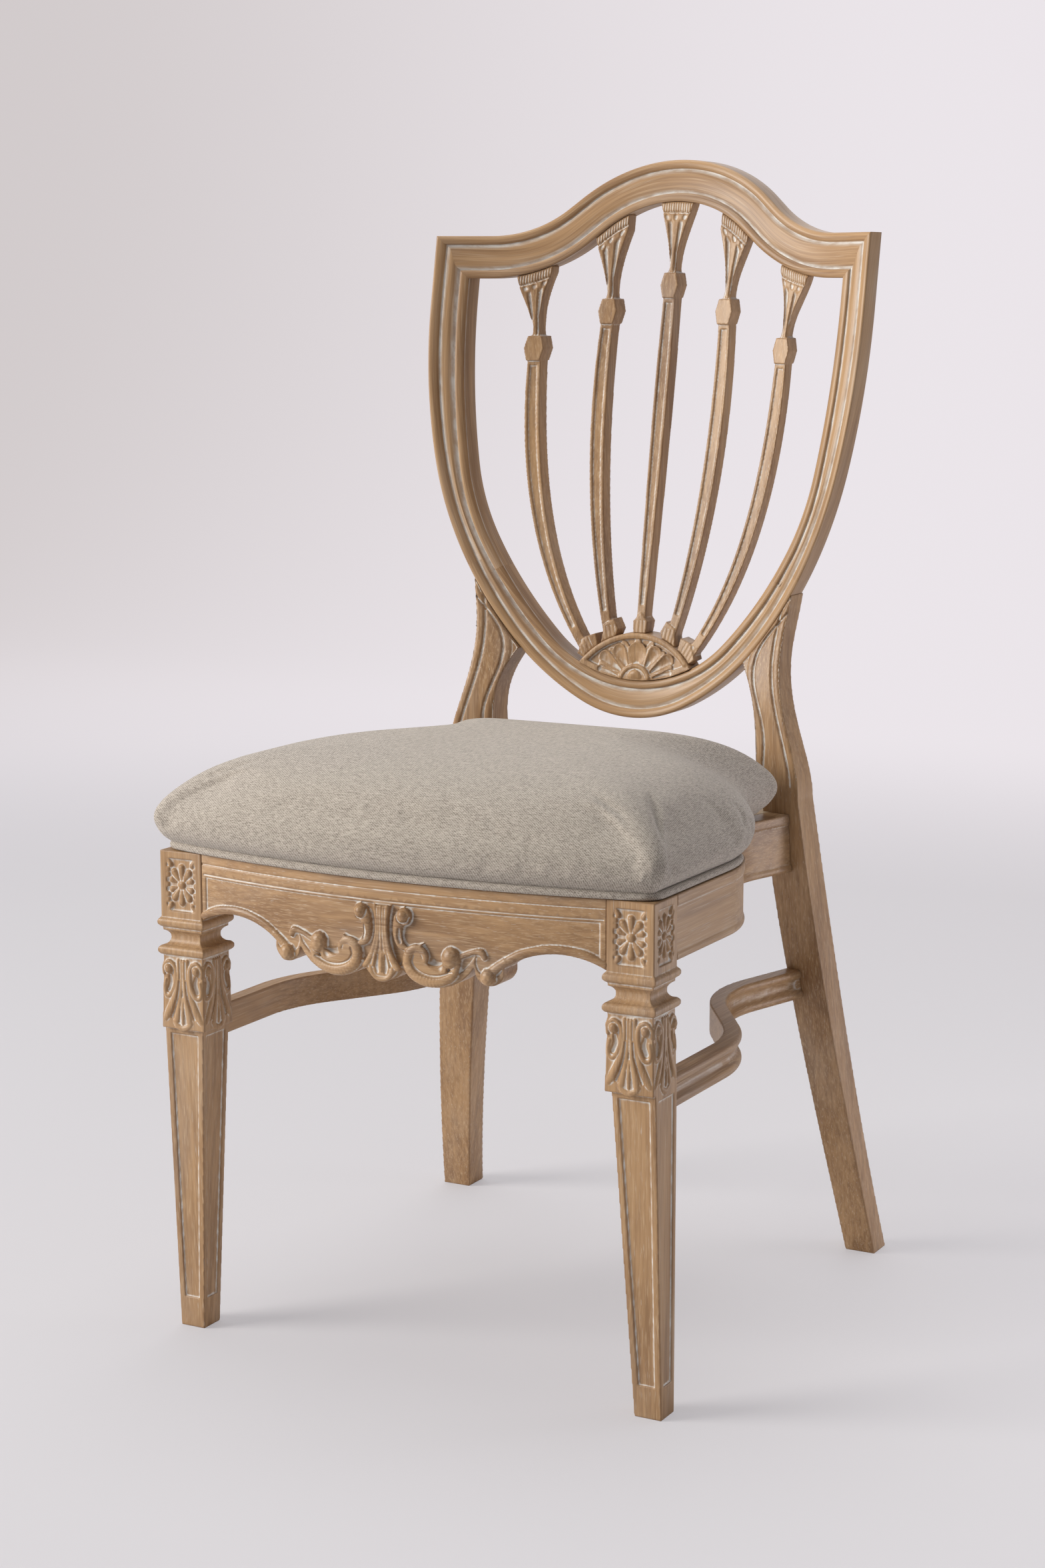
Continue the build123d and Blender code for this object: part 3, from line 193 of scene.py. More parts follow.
def addStudio():
    kit = studioSet
    bm = bmesh.new()
    half = kit["half"]
    coveY = kit["wallY"] - kit["cove"]
    edge = bm.edges.new([bm.verts.new((-half, -half, 0)), bm.verts.new((half, -half, 0))])
    run = bmesh.ops.extrude_edge_only(bm, edges=[edge])
    tips = [v for v in run["geom"] if isinstance(v, bmesh.types.BMVert)]
    bmesh.ops.translate(bm, verts=tips, vec=(0, coveY + half, 0))
    tipEdge = [e for e in run["geom"] if isinstance(e, bmesh.types.BMEdge)]
    turn = bmesh.ops.spin(
        bm, geom=tips + tipEdge, cent=(0, coveY, kit["cove"]), axis=(1, 0, 0),
        angle=math.pi / 2, steps=kit["steps"], use_duplicate=False,
    )
    last = [e for e in turn["geom_last"] if isinstance(e, bmesh.types.BMEdge)]
    rise = bmesh.ops.extrude_edge_only(bm, edges=last)
    top = [v for v in rise["geom"] if isinstance(v, bmesh.types.BMVert)]
    bmesh.ops.translate(bm, verts=top, vec=(0, 0, kit["wallTall"]))
    bmesh.ops.remove_doubles(bm, verts=bm.verts, dist=1e-5)
    bmesh.ops.recalc_face_normals(bm, faces=bm.faces)
    paper = makeObject(bm, "studioPaper")
    coat, tree, shader = newCoat("studioPaper")
    looks = {"Roughness": kit["roughness"], "Specular IOR Level": kit["specular"]}
    tune(tree, shader, {"Base Color": (*kit["paper"], 1), **looks})
    paper.data.materials.append(coat)
    paintWall(tree, shader)
    for index, (place, aim, size, power, colour) in enumerate(lampSet):
        glow = bpy.data.lights.new("softLamp%d" % index, "AREA")
        glow.shape = "DISK"
        glow.size = size
        glow.energy = power
        glow.color = colour
        lamp = bpy.data.objects.new("softLamp%d" % index, glow)
        lamp.location = place
        lamp.rotation_euler = (Vector(aim) - Vector(place)).to_track_quat("-Z", "Y").to_euler()
        scene.collection.objects.link(lamp)
    world = bpy.data.worlds.new("paleRoom")
    world.use_nodes = True
    tree = world.node_tree
    # the camera sees the room in its own colour, the light it gives is weaker
    path = put(tree, "ShaderNodeLightPath")
    power = calc(tree, "MAXIMUM", path.outputs["Is Camera Ray"], kit["worldPower"])
    tune(tree, tree.nodes["Background"], {"Color": (*kit["world"], 1), "Strength": power})
    scene.world = world


addStudio()
print("studio set")


# limed wood: brown fibre, growth rings, open pores filled with white wax, wax left in the hollows
woodSet = {
    "deep": (0.24, 0.136, 0.068), "tan": (0.43, 0.266, 0.136), "pale": (0.545, 0.39, 0.242),
    "wax": (0.73, 0.725, 0.69), "heart": (0.055, 0.035, 0), "ring": 0.0044,
    # stretch, scale, detail, roughness, distortion
    "fine": (0.022, 900, 2.0, 0.55), "fibre": (0.03, 330, 3.0, 0.6), "broad": (0.16, 22, 3.0, 0.5, 0.2),
    "wander": (0.35, 7, 2.0, 0.5), "pore": (0.022, 1500, 1.0, 0.4), "patch": (0.3, 24, 3.0, 0.6),
    "worn": (0.5, 130, 3.0, 0.65),
    # where each mask starts and is full
    "earlyRange": (-0.2, 1.0), "poreRange": (0.70, 0.80), "patchRange": (0.45, 0.8),
    "toneRange": (0.32, 0.62), "streakRange": (0.50, 0.72), "hollowRange": (0.20, 0.95),
    "ridgeRange": (0.25, 1.0), "wornRange": (0.32, 0.66),
    # how strongly each one works
    "wanderBy": 0.05, "poreEarly": 0.05, "ragged": 0.7, "fibreShare": 0.45, "broadShare": 0.55,
    "earlyDark": 0.20, "streakPale": 0.5, "ridgeDark": 0.42, "film": 0.10, "wornBy": 0.55, "wornBase": 0.36,
    "poreWax": 0.26, "rough": (0.22, 0.37), "relief": 0.5, "bump": (0.25, 0.0003),
    "looks": {"Specular IOR Level": 0.3},
}


def limedGrain():
    group, place, cavity = newGroup("limedGrain")
    kit = woodSet
    fine = streaks(group, place, kit["fine"])
    fibre = streaks(group, place, kit["fibre"])
    broad = streaks(group, place, kit["broad"])
    # rings around a heart beside the piece, wandering slowly along it
    ends = {0: stretched(group, place, (1, 1, 0)), 1: kit["heart"]}
    offset = put(group, "ShaderNodeVectorMath", ends, operation="ADD")
    size = put(group, "ShaderNodeVectorMath", {0: offset.outputs[0]}, operation="LENGTH")
    wander = share(group, streaks(group, place, kit["wander"]), kit["wanderBy"])
    radius = calc(group, "ADD", size.outputs["Value"], wander)
    rings = calc(group, "SINE", share(group, radius, 2 * math.pi / kit["ring"]))
    early = soften(group, rings, *kit["earlyRange"])
    pores = calc(group, "ADD", streaks(group, place, kit["pore"]), share(group, early, kit["poreEarly"]))
    pores = soften(group, pores, *kit["poreRange"])
    patches = soften(group, streaks(group, place, kit["patch"]), *kit["patchRange"])
    ragged = share(group, calc(group, "SUBTRACT", fibre, 0.5), kit["ragged"])
    hollow = soften(group, calc(group, "ADD", cavity, ragged), *kit["hollowRange"])
    ridge = soften(group, share(group, cavity, -1.0), *kit["ridgeRange"])
    tone = calc(group, "ADD", share(group, fibre, kit["fibreShare"]), share(group, broad, kit["broadShare"]))
    body = blendColour(group, soften(group, tone, *kit["toneRange"]), kit["deep"], kit["tan"])
    body = blendColour(group, share(group, early, kit["earlyDark"]), body, kit["deep"])
    streak = soften(group, fine, *kit["streakRange"])
    body = blendColour(group, share(group, streak, kit["streakPale"]), body, kit["pale"])
    body = blendColour(group, share(group, ridge, kit["ridgeDark"]), body, kit["deep"])
    worn = soften(group, streaks(group, place, kit["worn"]), *kit["wornRange"])
    hollow = share(group, hollow, calc(group, "MULTIPLY_ADD", worn, kit["wornBy"], kit["wornBase"]))
    wax = calc(group, "MAXIMUM", share(group, pores, kit["poreWax"]), hollow)
    wax = calc(group, "MAXIMUM", wax, share(group, patches, kit["film"]))
    colour = blendColour(group, wax, body, kit["wax"])
    rough = calc(group, "MULTIPLY_ADD", wax, *kit["rough"])
    height = share(group, calc(group, "SUBTRACT", fine, pores), kit["relief"])
    return closeGroup(group, colour, rough, height)


grainGroup = limedGrain()


def dress(name, group, turn, shift, kit, attribute=None, along=None):
    # a material that places a group on Object coordinates, or along a piece, turned and shifted
    coat, tree, shader = newCoat(name)
    if along:
        where = put(tree, "ShaderNodeAttribute", attribute_name=along).outputs["Vector"]
    else:
        where = put(tree, "ShaderNodeTexCoord").outputs["Object"]
    mapping = put(tree, "ShaderNodeMapping", {"Rotation": turn, "Location": shift, "Vector": where})
    pattern = put(tree, "ShaderNodeGroup", {"Place": mapping.outputs["Vector"]}, node_tree=group)
    if attribute:
        mark = put(tree, "ShaderNodeAttribute", attribute_name=attribute)
        tune(tree, pattern, {"Cavity": mark.outputs["Fac"]})
    colour, rough, height = pattern.outputs
    strength, distance = kit["bump"]
    relief = put(tree, "ShaderNodeBump", {"Strength": strength, "Distance": distance, "Height": height})
    tune(tree, shader, {"Base Color": colour, "Roughness": rough, "Normal": relief.outputs["Normal"]})
    tune(tree, shader, kit["looks"])
    return coat


# raw wood under the seat, zinc on the screws
rawSet = {
    "low": (0.46, 0.33, 0.19), "high": (0.64, 0.50, 0.33), "range": (0.32, 0.68), "rough": (0.2, 0.6),
    "fibre": (0.06, 300, 4.0, 0.6, 0.3), "broad": (0.2, 20, 3.0, 0.5, 0.5), "shares": (0.6, 0.4),
    "bump": (0.25, 0.0003), "looks": {"Metallic": 0.0},
}
zincSet = {
    "low": (0.42, 0.41, 0.38), "high": (0.60, 0.58, 0.52), "range": (0.35, 0.65), "rough": (0.25, 0.25),
    "fibre": (1, 900, 3.0, 0.6), "broad": (1, 900, 3.0, 0.6), "shares": (1, 0),
    "bump": (0.25, 0.0003), "looks": {"Metallic": 1.0},
}


def plainGrain(name, kit):
    group, place, _ = newGroup(name)
    fibre = streaks(group, place, kit["fibre"])
    broad = share(group, streaks(group, place, kit["broad"]), kit["shares"][1])
    tone = calc(group, "MULTIPLY_ADD", fibre, kit["shares"][0], broad)
    colour = blendColour(group, soften(group, tone, *kit["range"]), kit["low"], kit["high"])
    return closeGroup(group, colour, calc(group, "MULTIPLY_ADD", fibre, *kit["rough"]), fibre)


rawGroup = plainGrain("rawGrain", rawSet)
zincGroup = plainGrain("zincGrain", zincSet)

# which way the fibre runs in each piece: the pattern's own length is its z
upright = (0, 0, 0)
across = (0, math.radians(90), 0)
deepways = (math.radians(90), 0, 0)


def bakeMesh(piece, name):
    # the mesh with its modifiers worked in
    graph = bpy.context.evaluated_depsgraph_get()
    mesh = bpy.data.meshes.new_from_object(piece.evaluated_get(graph))
    mesh.name = name
    old = piece.data
    piece.modifiers.clear()
    piece.data = mesh
    bpy.data.meshes.remove(old)
    mesh.polygons.foreach_set("use_smooth", [True] * len(mesh.polygons))


def readPoints(mesh, kind="co"):
    values = np.zeros(len(mesh.vertices) * 3)
    mesh.vertices.foreach_get(kind, values)
    return values.reshape(-1, 3)


def readNormals(mesh):
    return readPoints(mesh, "normal")


def writePoints(mesh, points):
    mesh.vertices.foreach_set("co", points.astype(np.float32).ravel())
    mesh.update()


hollowSet = {"rounds": 5, "reach": 0.2, "wideRounds": 3, "wideShare": 0.75 / 2.6}


def markHollows(mesh, rounds, reach):
    # how far each point lies below (+) or above (-) its smoothed neighbourhood
    points = readPoints(mesh)
    normals = readNormals(mesh)
    ends = np.zeros(len(mesh.edges) * 2, np.int64)
    mesh.edges.foreach_get("vertices", ends)
    first = np.concatenate([ends[0::2], ends[1::2]])
    second = np.concatenate([ends[1::2], ends[0::2]])
    size = len(points)
    count = np.maximum(np.bincount(first, minlength=size), 1)
    eased = points
    found = []
    for turns in (rounds, hollowSet["wideRounds"] * rounds):
        for _ in range(turns):
            moved = [np.bincount(first, eased[second, axis], minlength=size) / count for axis in range(3)]
            eased = 0.5 * eased + 0.5 * np.stack(moved, 1)
        found.append(((eased - points) * normals).sum(1) / reach)
    depth, wide = found
    depth = np.where(depth > 0, np.maximum(depth, hollowSet["wideShare"] * wide), depth)
    mark = mesh.attributes.new("cavity", "FLOAT", "POINT")
    mark.data.foreach_set("value", np.clip(depth, -1, 1).astype(np.float32))


def nodeForm(name):
    bm = bmesh.new()
    bm.from_mesh(nodes[name].data)
    bmesh.ops.remove_doubles(bm, verts=bm.verts, dist=1e-6)
    return bm


def fuse(piece, voxel, rounds):
    work = piece.modifiers.new("fuse", "REMESH")
    work.mode = "VOXEL"
    work.voxel_size = voxel
    piece.modifiers.new("ease", "SMOOTH").iterations = rounds
    bakeMesh(piece, piece.name)


def thinOut(piece, limit):
    triangles = 2 * len(piece.data.polygons)
    if triangles > limit:
        thin = piece.modifiers.new("thin", "DECIMATE")
        thin.ratio = limit / triangles
        bakeMesh(piece, piece.name)


def carvedPiece(name, voxel, limit, smooth, extras=(), carve=None):
    # a softened copy of a node with the carved forms worked into it
    bm = nodeForm(name)
    for extra in extras:
        bm.from_mesh(extra)
        bpy.data.meshes.remove(extra)
    piece = makeObject(bm, name + "_carved")
    fuse(piece, voxel, smooth)
    if carve:
        points = readPoints(piece.data)
        writePoints(piece.data, carve(points, readNormals(piece.data)))
    markHollows(piece.data, hollowSet["rounds"], hollowSet["reach"] * voxel)
    thinOut(piece, limit)
    return piece


def handOver(piece, node, coat):
    piece.data.materials.clear()
    piece.data.materials.append(coat)
    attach(piece, "root")
    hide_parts(node)


def finishWood(piece, node, turn, shift, along=None):
    coat = dress("limedWood_" + node, grainGroup, turn, shift, woodSet, "cavity", along)
    handOver(piece, node, coat)


# the faces that carry carving, in mm: u along the face, v up, w outward
chairSet = {
    "frontY": -226.16, "legX": 201.5, "blockHalf": 20.0, "railEnd": 181.4, "railY": -245.66, "bow": 20.0,
}
backSet = {"frontY": 187.34, "rake": math.radians(10.65), "datum": 600.0, "bend": 400.0}


def bendY(x, z):
    # front of the back at a width and a height
    sag = backSet["bend"] - np.sqrt(backSet["bend"] ** 2 - x * x)
    return backSet["frontY"] + math.tan(backSet["rake"]) * (z - backSet["datum"]) - sag


def bowY(x):
    # front of the front rail
    radius = (chairSet["railEnd"] ** 2 + chairSet["bow"] ** 2) / (2 * chairSet["bow"])
    return chairSet["railY"] - chairSet["bow"] + radius - np.sqrt(radius * radius - x * x)


def facing(out, place, find):
    turn = Matrix(((-out[1], 0, out[0], 0), (out[0], 0, out[1], 0), (0, 1, 0, 0), (0, 0, 0, 1)))
    return {"out": np.array((out[0], out[1], 0.0)), "place": place, "find": find, "turn": turn}


def legFace(side, out):
    middle = (side * chairSet["legX"], chairSet["frontY"])
    half = chairSet["blockHalf"]

    def place(u, v, w):
        return middle[0] - out[1] * u + out[0] * (half + w), middle[1] + out[0] * u + out[1] * (half + w), v

    def find(points):
        x = points[:, 0] / mm - middle[0]
        y = points[:, 1] / mm - middle[1]
        return y * out[0] - x * out[1], points[:, 2] / mm, x * out[0] + y * out[1] - half

    return facing(out, place, find)


railFace = facing(
    (0, -1),
    lambda u, v, w: (u, float(bowY(u)) - w, v),
    lambda points: (points[:, 0] / mm, points[:, 2] / mm, bowY(points[:, 0] / mm) - points[:, 1] / mm),
)
backFace = facing(
    (0, -1),
    lambda u, v, w: (u, float(bendY(u, v)) - w, v),
    lambda points: (
        points[:, 0] / mm, points[:, 2] / mm, bendY(points[:, 0] / mm, points[:, 2] / mm) - points[:, 1] / mm
    ),
)


strokeSet = {"pace": 0.45, "leastPace": 0.8, "leastRadius": 0.3, "sinkPace": 0.3, "skin": 6.0, "far": 9.0}


def smoothLine(stops, pace):
    # points along a smooth line through stops of u, v and radius
    stops = np.array(stops, float)
    ends = np.vstack([2 * stops[0] - stops[1], stops, 2 * stops[-1] - stops[-2]])
    line = []
    for index in range(len(stops) - 1):
        a, b, c, d = ends[index:index + 4]
        length = np.linalg.norm((c - b)[:2])
        count = max(2, int(length / (pace * max(b[2], c[2], strokeSet["leastPace"]))))
        t = np.linspace(0, 1, count, endpoint=False)[:, None]
        bend = (2 * a - 5 * b + 4 * c - d) * t**2 + (3 * b - a - 3 * c + d) * t**3
        line.append(0.5 * (2 * b + (c - a) * t + bend))
    line = np.vstack(line + [stops[-1:]])
    line[:, 2] = np.maximum(line[:, 2], strokeSet["leastRadius"])
    return line


def flip(strokes):
    return [([(-u, v, r) for u, v, r in stops], *rest) for stops, *rest in strokes]


def raiseForms(face, strokes, pace=strokeSet["pace"]):
    # rows of flattened balls along smooth lines, fused into the wood by the remesh
    meshes = []
    for stops, flat, lift in strokes:
        bm = bmesh.new()
        for u, v, radius in smoothLine(stops, pace):
            spot = Vector(face["place"](u, v, lift)) * mm
            size = radius * mm
            matrix = Matrix.Translation(spot) @ face["turn"] @ Matrix.Diagonal((size, size, size * flat, 1))
            bmesh.ops.create_icosphere(bm, subdivisions=2, radius=1.0, matrix=matrix)
        mesh = bpy.data.meshes.new("stroke")
        bm.to_mesh(mesh)
        bm.free()
        meshes.append(mesh)
    return meshes


def sink(points, face, strokes, skin=strokeSet["skin"], pace=strokeSet["sinkPace"]):
    # hollows along smooth lines, cut into the skin of one face
    u, v, w = face["find"](points)
    for stops, depth in strokes:
        line = smoothLine(stops, pace)
        reach = line[:, 2].max()
        pick = (np.abs(w) < skin) & (u > line[:, 0].min() - reach) & (u < line[:, 0].max() + reach)
        pick = np.where(pick & (v > line[:, 1].min() - reach) & (v < line[:, 1].max() + reach))[0]
        gap = np.full(len(pick), strokeSet["far"])
        for a, b, radius in line:
            gap = np.minimum(gap, np.hypot(u[pick] - a, v[pick] - b) / radius)
        points[pick] -= face["out"] * (depth * np.clip(1 - gap * gap, 0, 1))[:, None] * mm
    return points


# a raised stroke has stops of u, v and radius, its flatness and its lift; a hollow has stops and a depth
# acanthus leaf on each face of the block under the beads: right half, then the middle
leafHalf = [
    ([(13.4, 309.2, 3.7), (13.4, 310.0, 3.7)], 0.95, -0.2),
    ([(18.2, 305, 1.1), (18.4, 311, 1.2), (13.5, 315.8, 1.5), (8.0, 312.5, 1.6), (6.6, 304, 1.8),
      (8.2, 295, 1.9), (12.2, 287.8, 1.9), (16.4, 287.6, 1.6), (17.8, 293, 1.3), (16.6, 300, 1.1)],
     0.85, -0.2),
    ([(4.2, 317, 1.5), (4.0, 305, 1.7), (5.8, 293, 2.3), (9.8, 281.5, 3.2), (14.0, 273, 3.3),
      (17.2, 267.5, 2.2)], 0.7, -0.2),
    ([(1.3, 317, 1.2), (1.3, 302, 1.3), (2.4, 287, 1.9), (4.8, 275, 2.6), (6.4, 266.5, 2.8)], 0.7, 0.0),
]
leafMiddle = [
    ([(0, 286, 0.5), (0, 279, 1.2), (0, 271, 1.7), (0, 265, 1.2)], 0.9, 0.6),
    ([(-7.5, 266, 2.2), (-4.8, 262.4, 2.6), (0, 260.6, 3.0), (4.8, 262.4, 2.6), (7.5, 266, 2.2)], 0.75, 0.0),
]
leafHollows = [
    ([(12.6, 303.5, 1.7), (11.8, 298, 2.4), (13.8, 292, 2.2)], 2.0),
    ([(3.2, 300, 0.8), (4.4, 289, 1.1), (7.8, 278, 1.3), (11.0, 269.5, 1.2)], 1.2),
    ([(2.7, 316, 0.7), (2.7, 302, 0.7)], 0.8),
]
# rosette in the sunk panel of the block: petals above and below a boss, a scalloped frame
rosetteSet = {
    "z": 379.35, "floor": -1.9, "flat": 0.8, "petals": ((56, 12.6), (90, 14.2), (124, 12.6)),
    "near": 5.0, "waist": 0.66, "radii": (1.2, 2.3, 3.0),
}
# a quarter of its frame and the end of its middle, heights from the middle
rosetteQuarter = [
    ([(10.4, 16.4, 2.2), (12.0, 19.4, 1.7), (12.9, 21.4, 1.0)], 0.9, -1.4),
    ([(5.6, 2.6, 1.2), (9.4, 4.0, 2.5)], 0.8, -1.9),
    ([(12.8, 7.6, 1.9), (12.9, 8.4, 1.9)], 0.8, -1.4),
    ([(12.8, 12.2, 2.0), (12.9, 13.0, 2.0)], 0.8, -1.4),
]
rosetteEnd = ([(13.2, -0.4, 1.7), (13.2, 0.4, 1.7)], 0.8, -1.4)


def rosetteStrokes():
    kit = rosetteSet
    z = kit["z"]
    strokes = []
    for up in (1, -1):
        for angle, reach in kit["petals"]:
            c = math.cos(math.radians(angle))
            s = math.sin(math.radians(angle)) * up
            runs = zip((kit["near"], kit["waist"] * reach, reach), kit["radii"])
            stops = [(run * c, z + run * s, radius) for run, radius in runs]
            strokes.append((stops, kit["flat"], kit["floor"]))
        for stops, *rest in rosetteQuarter + ([rosetteEnd] if up > 0 else []):
            right = ([(u, z + up * v, radius) for u, v, radius in stops], *rest)
            strokes += [right] + flip([right])
    return strokes


def carveLeg(side):
    faces = [legFace(side, out) for out in ((0, -1), (0, 1), (1, 0), (-1, 0))]
    meshes = []
    for face in faces:
        meshes += raiseForms(face, leafHalf + flip(leafHalf) + leafMiddle)
    for out in ((0, -1), (side, 0)):
        meshes += raiseForms(legFace(side, out), rosetteStrokes())

    def carve(points, normals):
        for face in faces:
            points = sink(points, face, leafHollows + flip(leafHollows))
        return points

    return meshes, carve


# front rail: scrolls, volutes, balls and tendrils on the right half, and the palmette in the middle
apronHalf = [
    ([(19, 381, 4.6), (19, 381.8, 4.6)], 0.95, 2.6),
    ([(19.5, 381.5, 6.6), (15.5, 378, 5.6), (13.6, 371, 4.6), (13.8, 364, 4.0), (16.2, 358.6, 3.4),
      (19.6, 356.4, 2.4)], 0.7, 0.6),
    ([(5.4, 387, 1.9), (4.2, 374, 1.6), (4.6, 364, 1.8), (7.5, 352, 2.4), (11.6, 343.5, 2.8),
      (15, 339.4, 2.3)], 0.9, 2.4),
    ([(2.5, 386.5, 1.0), (2.1, 372, 0.9), (2.9, 360, 1.1), (5.2, 349, 1.4), (7.2, 341, 1.5)], 0.9, 3.0),
    ([(65, 347, 2.6), (59.5, 338, 4.0), (49, 333.4, 4.9), (38, 333.4, 5.4), (28, 337.5, 5.2),
      (22.9, 345, 4.6), (23.9, 353.2, 4.0), (30, 357.4, 3.4), (36.6, 354.6, 2.9), (37.9, 348.8, 2.5),
      (33.6, 346.2, 2.2), (30.6, 349.4, 2.0)], 0.8, 1.4),
    ([(59, 350.6, 7.4), (59, 353.4, 7.4)], 0.85, 0.0),
    ([(66, 353.6, 2.2), (72.5, 356.4, 1.8), (79, 358.6, 2.0), (84, 358.6, 2.8), (86.4, 355.2, 2.4)],
     0.8, -0.2),
    ([(101, 351.5, 3.3), (115, 359.6, 3.3), (131, 364.0, 3.3), (148, 365.4, 3.3), (165, 363.2, 3.3),
      (180, 356.8, 3.3)], 0.8, -1.4),
    ([(90, 339.6, 6.4), (90, 340.6, 6.4)], 0.9, 0.6),
    ([(90, 342, 4.2), (96.5, 348, 3.6), (103, 352.8, 3.2)], 0.8, -0.8),
]
apronMiddle = [
    ([(0, 387, 1.3), (0, 372, 1.1), (0, 360, 0.9), (0, 353, 0.7)], 0.9, 3.0),
    ([(0, 350, 0.7), (0, 343, 1.9), (0, 336.5, 1.3)], 0.9, 2.8),
    ([(-10, 340.5, 1.6), (-8.6, 334.4, 1.9), (-4.6, 330.8, 2.0), (0, 330.0, 2.1), (4.6, 330.8, 2.0),
      (8.6, 334.4, 1.9), (10, 340.5, 1.6)], 0.9, 2.4),
]
apronHollows = [
    ([(15.6, 371, 1.0), (15.2, 365.5, 1.7), (16.4, 360.6, 1.5)], 1.5),
    ([(43.5, 347, 3.4), (50, 345, 3.8)], 1.6),
    ([(61, 341.5, 0.9), (49, 337.4, 1.1), (38.5, 337.6, 1.2), (30.4, 341.3, 1.1), (27.0, 346.6, 1.0),
      (28.2, 351.6, 0.9)], 1.3),
    ([(3.6, 349, 1.2), (4.4, 341, 2.0), (3.6, 335.6, 1.6)], 1.1),
    ([(13.6, 384.6, 0.8), (14.2, 379.4, 0.9), (17.6, 376.0, 0.9), (22.2, 376.8, 0.9), (24.6, 380.8, 0.8)],
     1.1),
]
railSkin = 9.0
railLines = [([(-179, 390.6, 0.9), (0, 390.6, 0.9), (179, 390.6, 0.9)], 0.8)]


def carveApron():
    meshes = raiseForms(railFace, apronHalf + flip(apronHalf) + apronMiddle)

    def carve(points, normals):
        return sink(points, railFace, apronHollows + flip(apronHollows) + railLines, railSkin)

    return meshes, carve


# half rosette: rim, petals with hollow middles, hub
fanSet = {
    "hubZ": 506.3, "rimZ": 483.0, "rim": 65.4, "field": 61.0, "near": 19.6, "last": 40.0, "pace": 0.2,
    "edges": (-78, -64, -44, -20, 20, 44, 64, 78), "flat": 0.16, "lift": -0.6, "ridge": 0.9, "scoop": 2.3,
    "shares": (0.72, 0.95, 1.0), "skin": 5.0,
    "dome": ((-4.6, 6.4, 2.8), (0, 8.2, 4.8), (4.6, 6.4, 2.8)), "domeFlat": (0.6, 0.4),
}
# arcs of the rim and the ring around the hub: middle, reach, degrees, radius of the stroke, flatness, lift
fanArcs = [
    (fanSet["rimZ"], fanSet["rim"], range(41, 140, 7), 2.6, 0.6, 0.3),
    (fanSet["hubZ"] + 1.6, 14.0, range(18, 164, 12), 2.2, 0.8, 0.8),
]


def carveFan():
    kit = fanSet
    raised = []
    sunk = []
    hub = kit["hubZ"]
    drop = hub - kit["rimZ"]
    for start, stop in zip(kit["edges"], kit["edges"][1:]):
        # a petal fills the angle between two edges, up to the rim or as far as the bow lets it
        lean = math.radians((start + stop) / 2)
        wide = math.sin(math.radians((stop - start) / 2))
        reach = math.sqrt(kit["field"] ** 2 - (drop * math.sin(lean)) ** 2) - drop * math.cos(lean)
        if stop == kit["edges"][-1] or start == kit["edges"][0]:
            reach = kit["last"]
        far = reach / (1 + wide)
        runs = zip((kit["near"], (kit["near"] + far) / 2, far), kit["shares"])
        spots = [(r * math.sin(lean), hub + r * math.cos(lean), r * wide * part) for r, part in runs]
        raised.append((spots, kit["flat"], kit["lift"]))
        sunk.append(([(u, v, r - kit["ridge"]) for u, v, r in spots], kit["scoop"]))
    for middle, reach, degrees, radius, flat, lift in fanArcs:
        angles = [math.radians(a) for a in degrees]
        stops = [(reach * math.cos(a), middle + reach * math.sin(a), radius) for a in angles]
        raised.append((stops, flat, lift))
    raised.append(([(u, hub + v, r) for u, v, r in kit["dome"]], *kit["domeFlat"]))
    meshes = raiseForms(backFace, raised, kit["pace"])
    return meshes, lambda points, normals: sink(points, backFace, sunk, kit["skin"], kit["pace"] / 2)


# shield frame: outlines in front view from the middle of the bow to the top of the crest, in mm
shieldSet = {
    "bottom": 476.3, "corner": 900.0, "rise": 66.0, "round": 0.3304, "dip": 0.236, "turn": 40.0,
    "crestWidth": 37.0, "bowWidth": 33.0, "joint": 606.0, "depth": 28.0, "pace": 2.0,
    "outerBead": (7.4, 2.2), "innerBead": (7.0, 2.0), "outerBand": 11.8, "innerBand": 11.2,
    "outerRear": 2.2, "innerRear": 5.6,
    "shift": (0.37, 0.21), "innerDrop": 1.0, "innerRise": 1.5, "arcPace": 0.8, "trim": 0.01,
    "outer": ((0.2596, 28), (0.5428, 22), (0.8426, 28), (1.5624, 12)),
    "inner": ((0.3346, 46), (1.0491, 16), (0.6521, 18), (2.4383, 10)),
}


def arcRun(spot, heading, radius, turn):
    # points along an arc from a spot, turning left by the given degrees, and the heading at its end
    angle = math.radians(turn)
    side = math.copysign(1.0, turn)
    centre = spot + radius * side * np.array((-math.sin(heading), math.cos(heading)))
    count = max(3, int(abs(angle) * radius / shieldSet["arcPace"]))
    steps = heading + angle * np.linspace(0, 1, count)[1:]
    return centre + radius * side * np.stack([np.sin(steps), -np.cos(steps)], 1), heading + angle


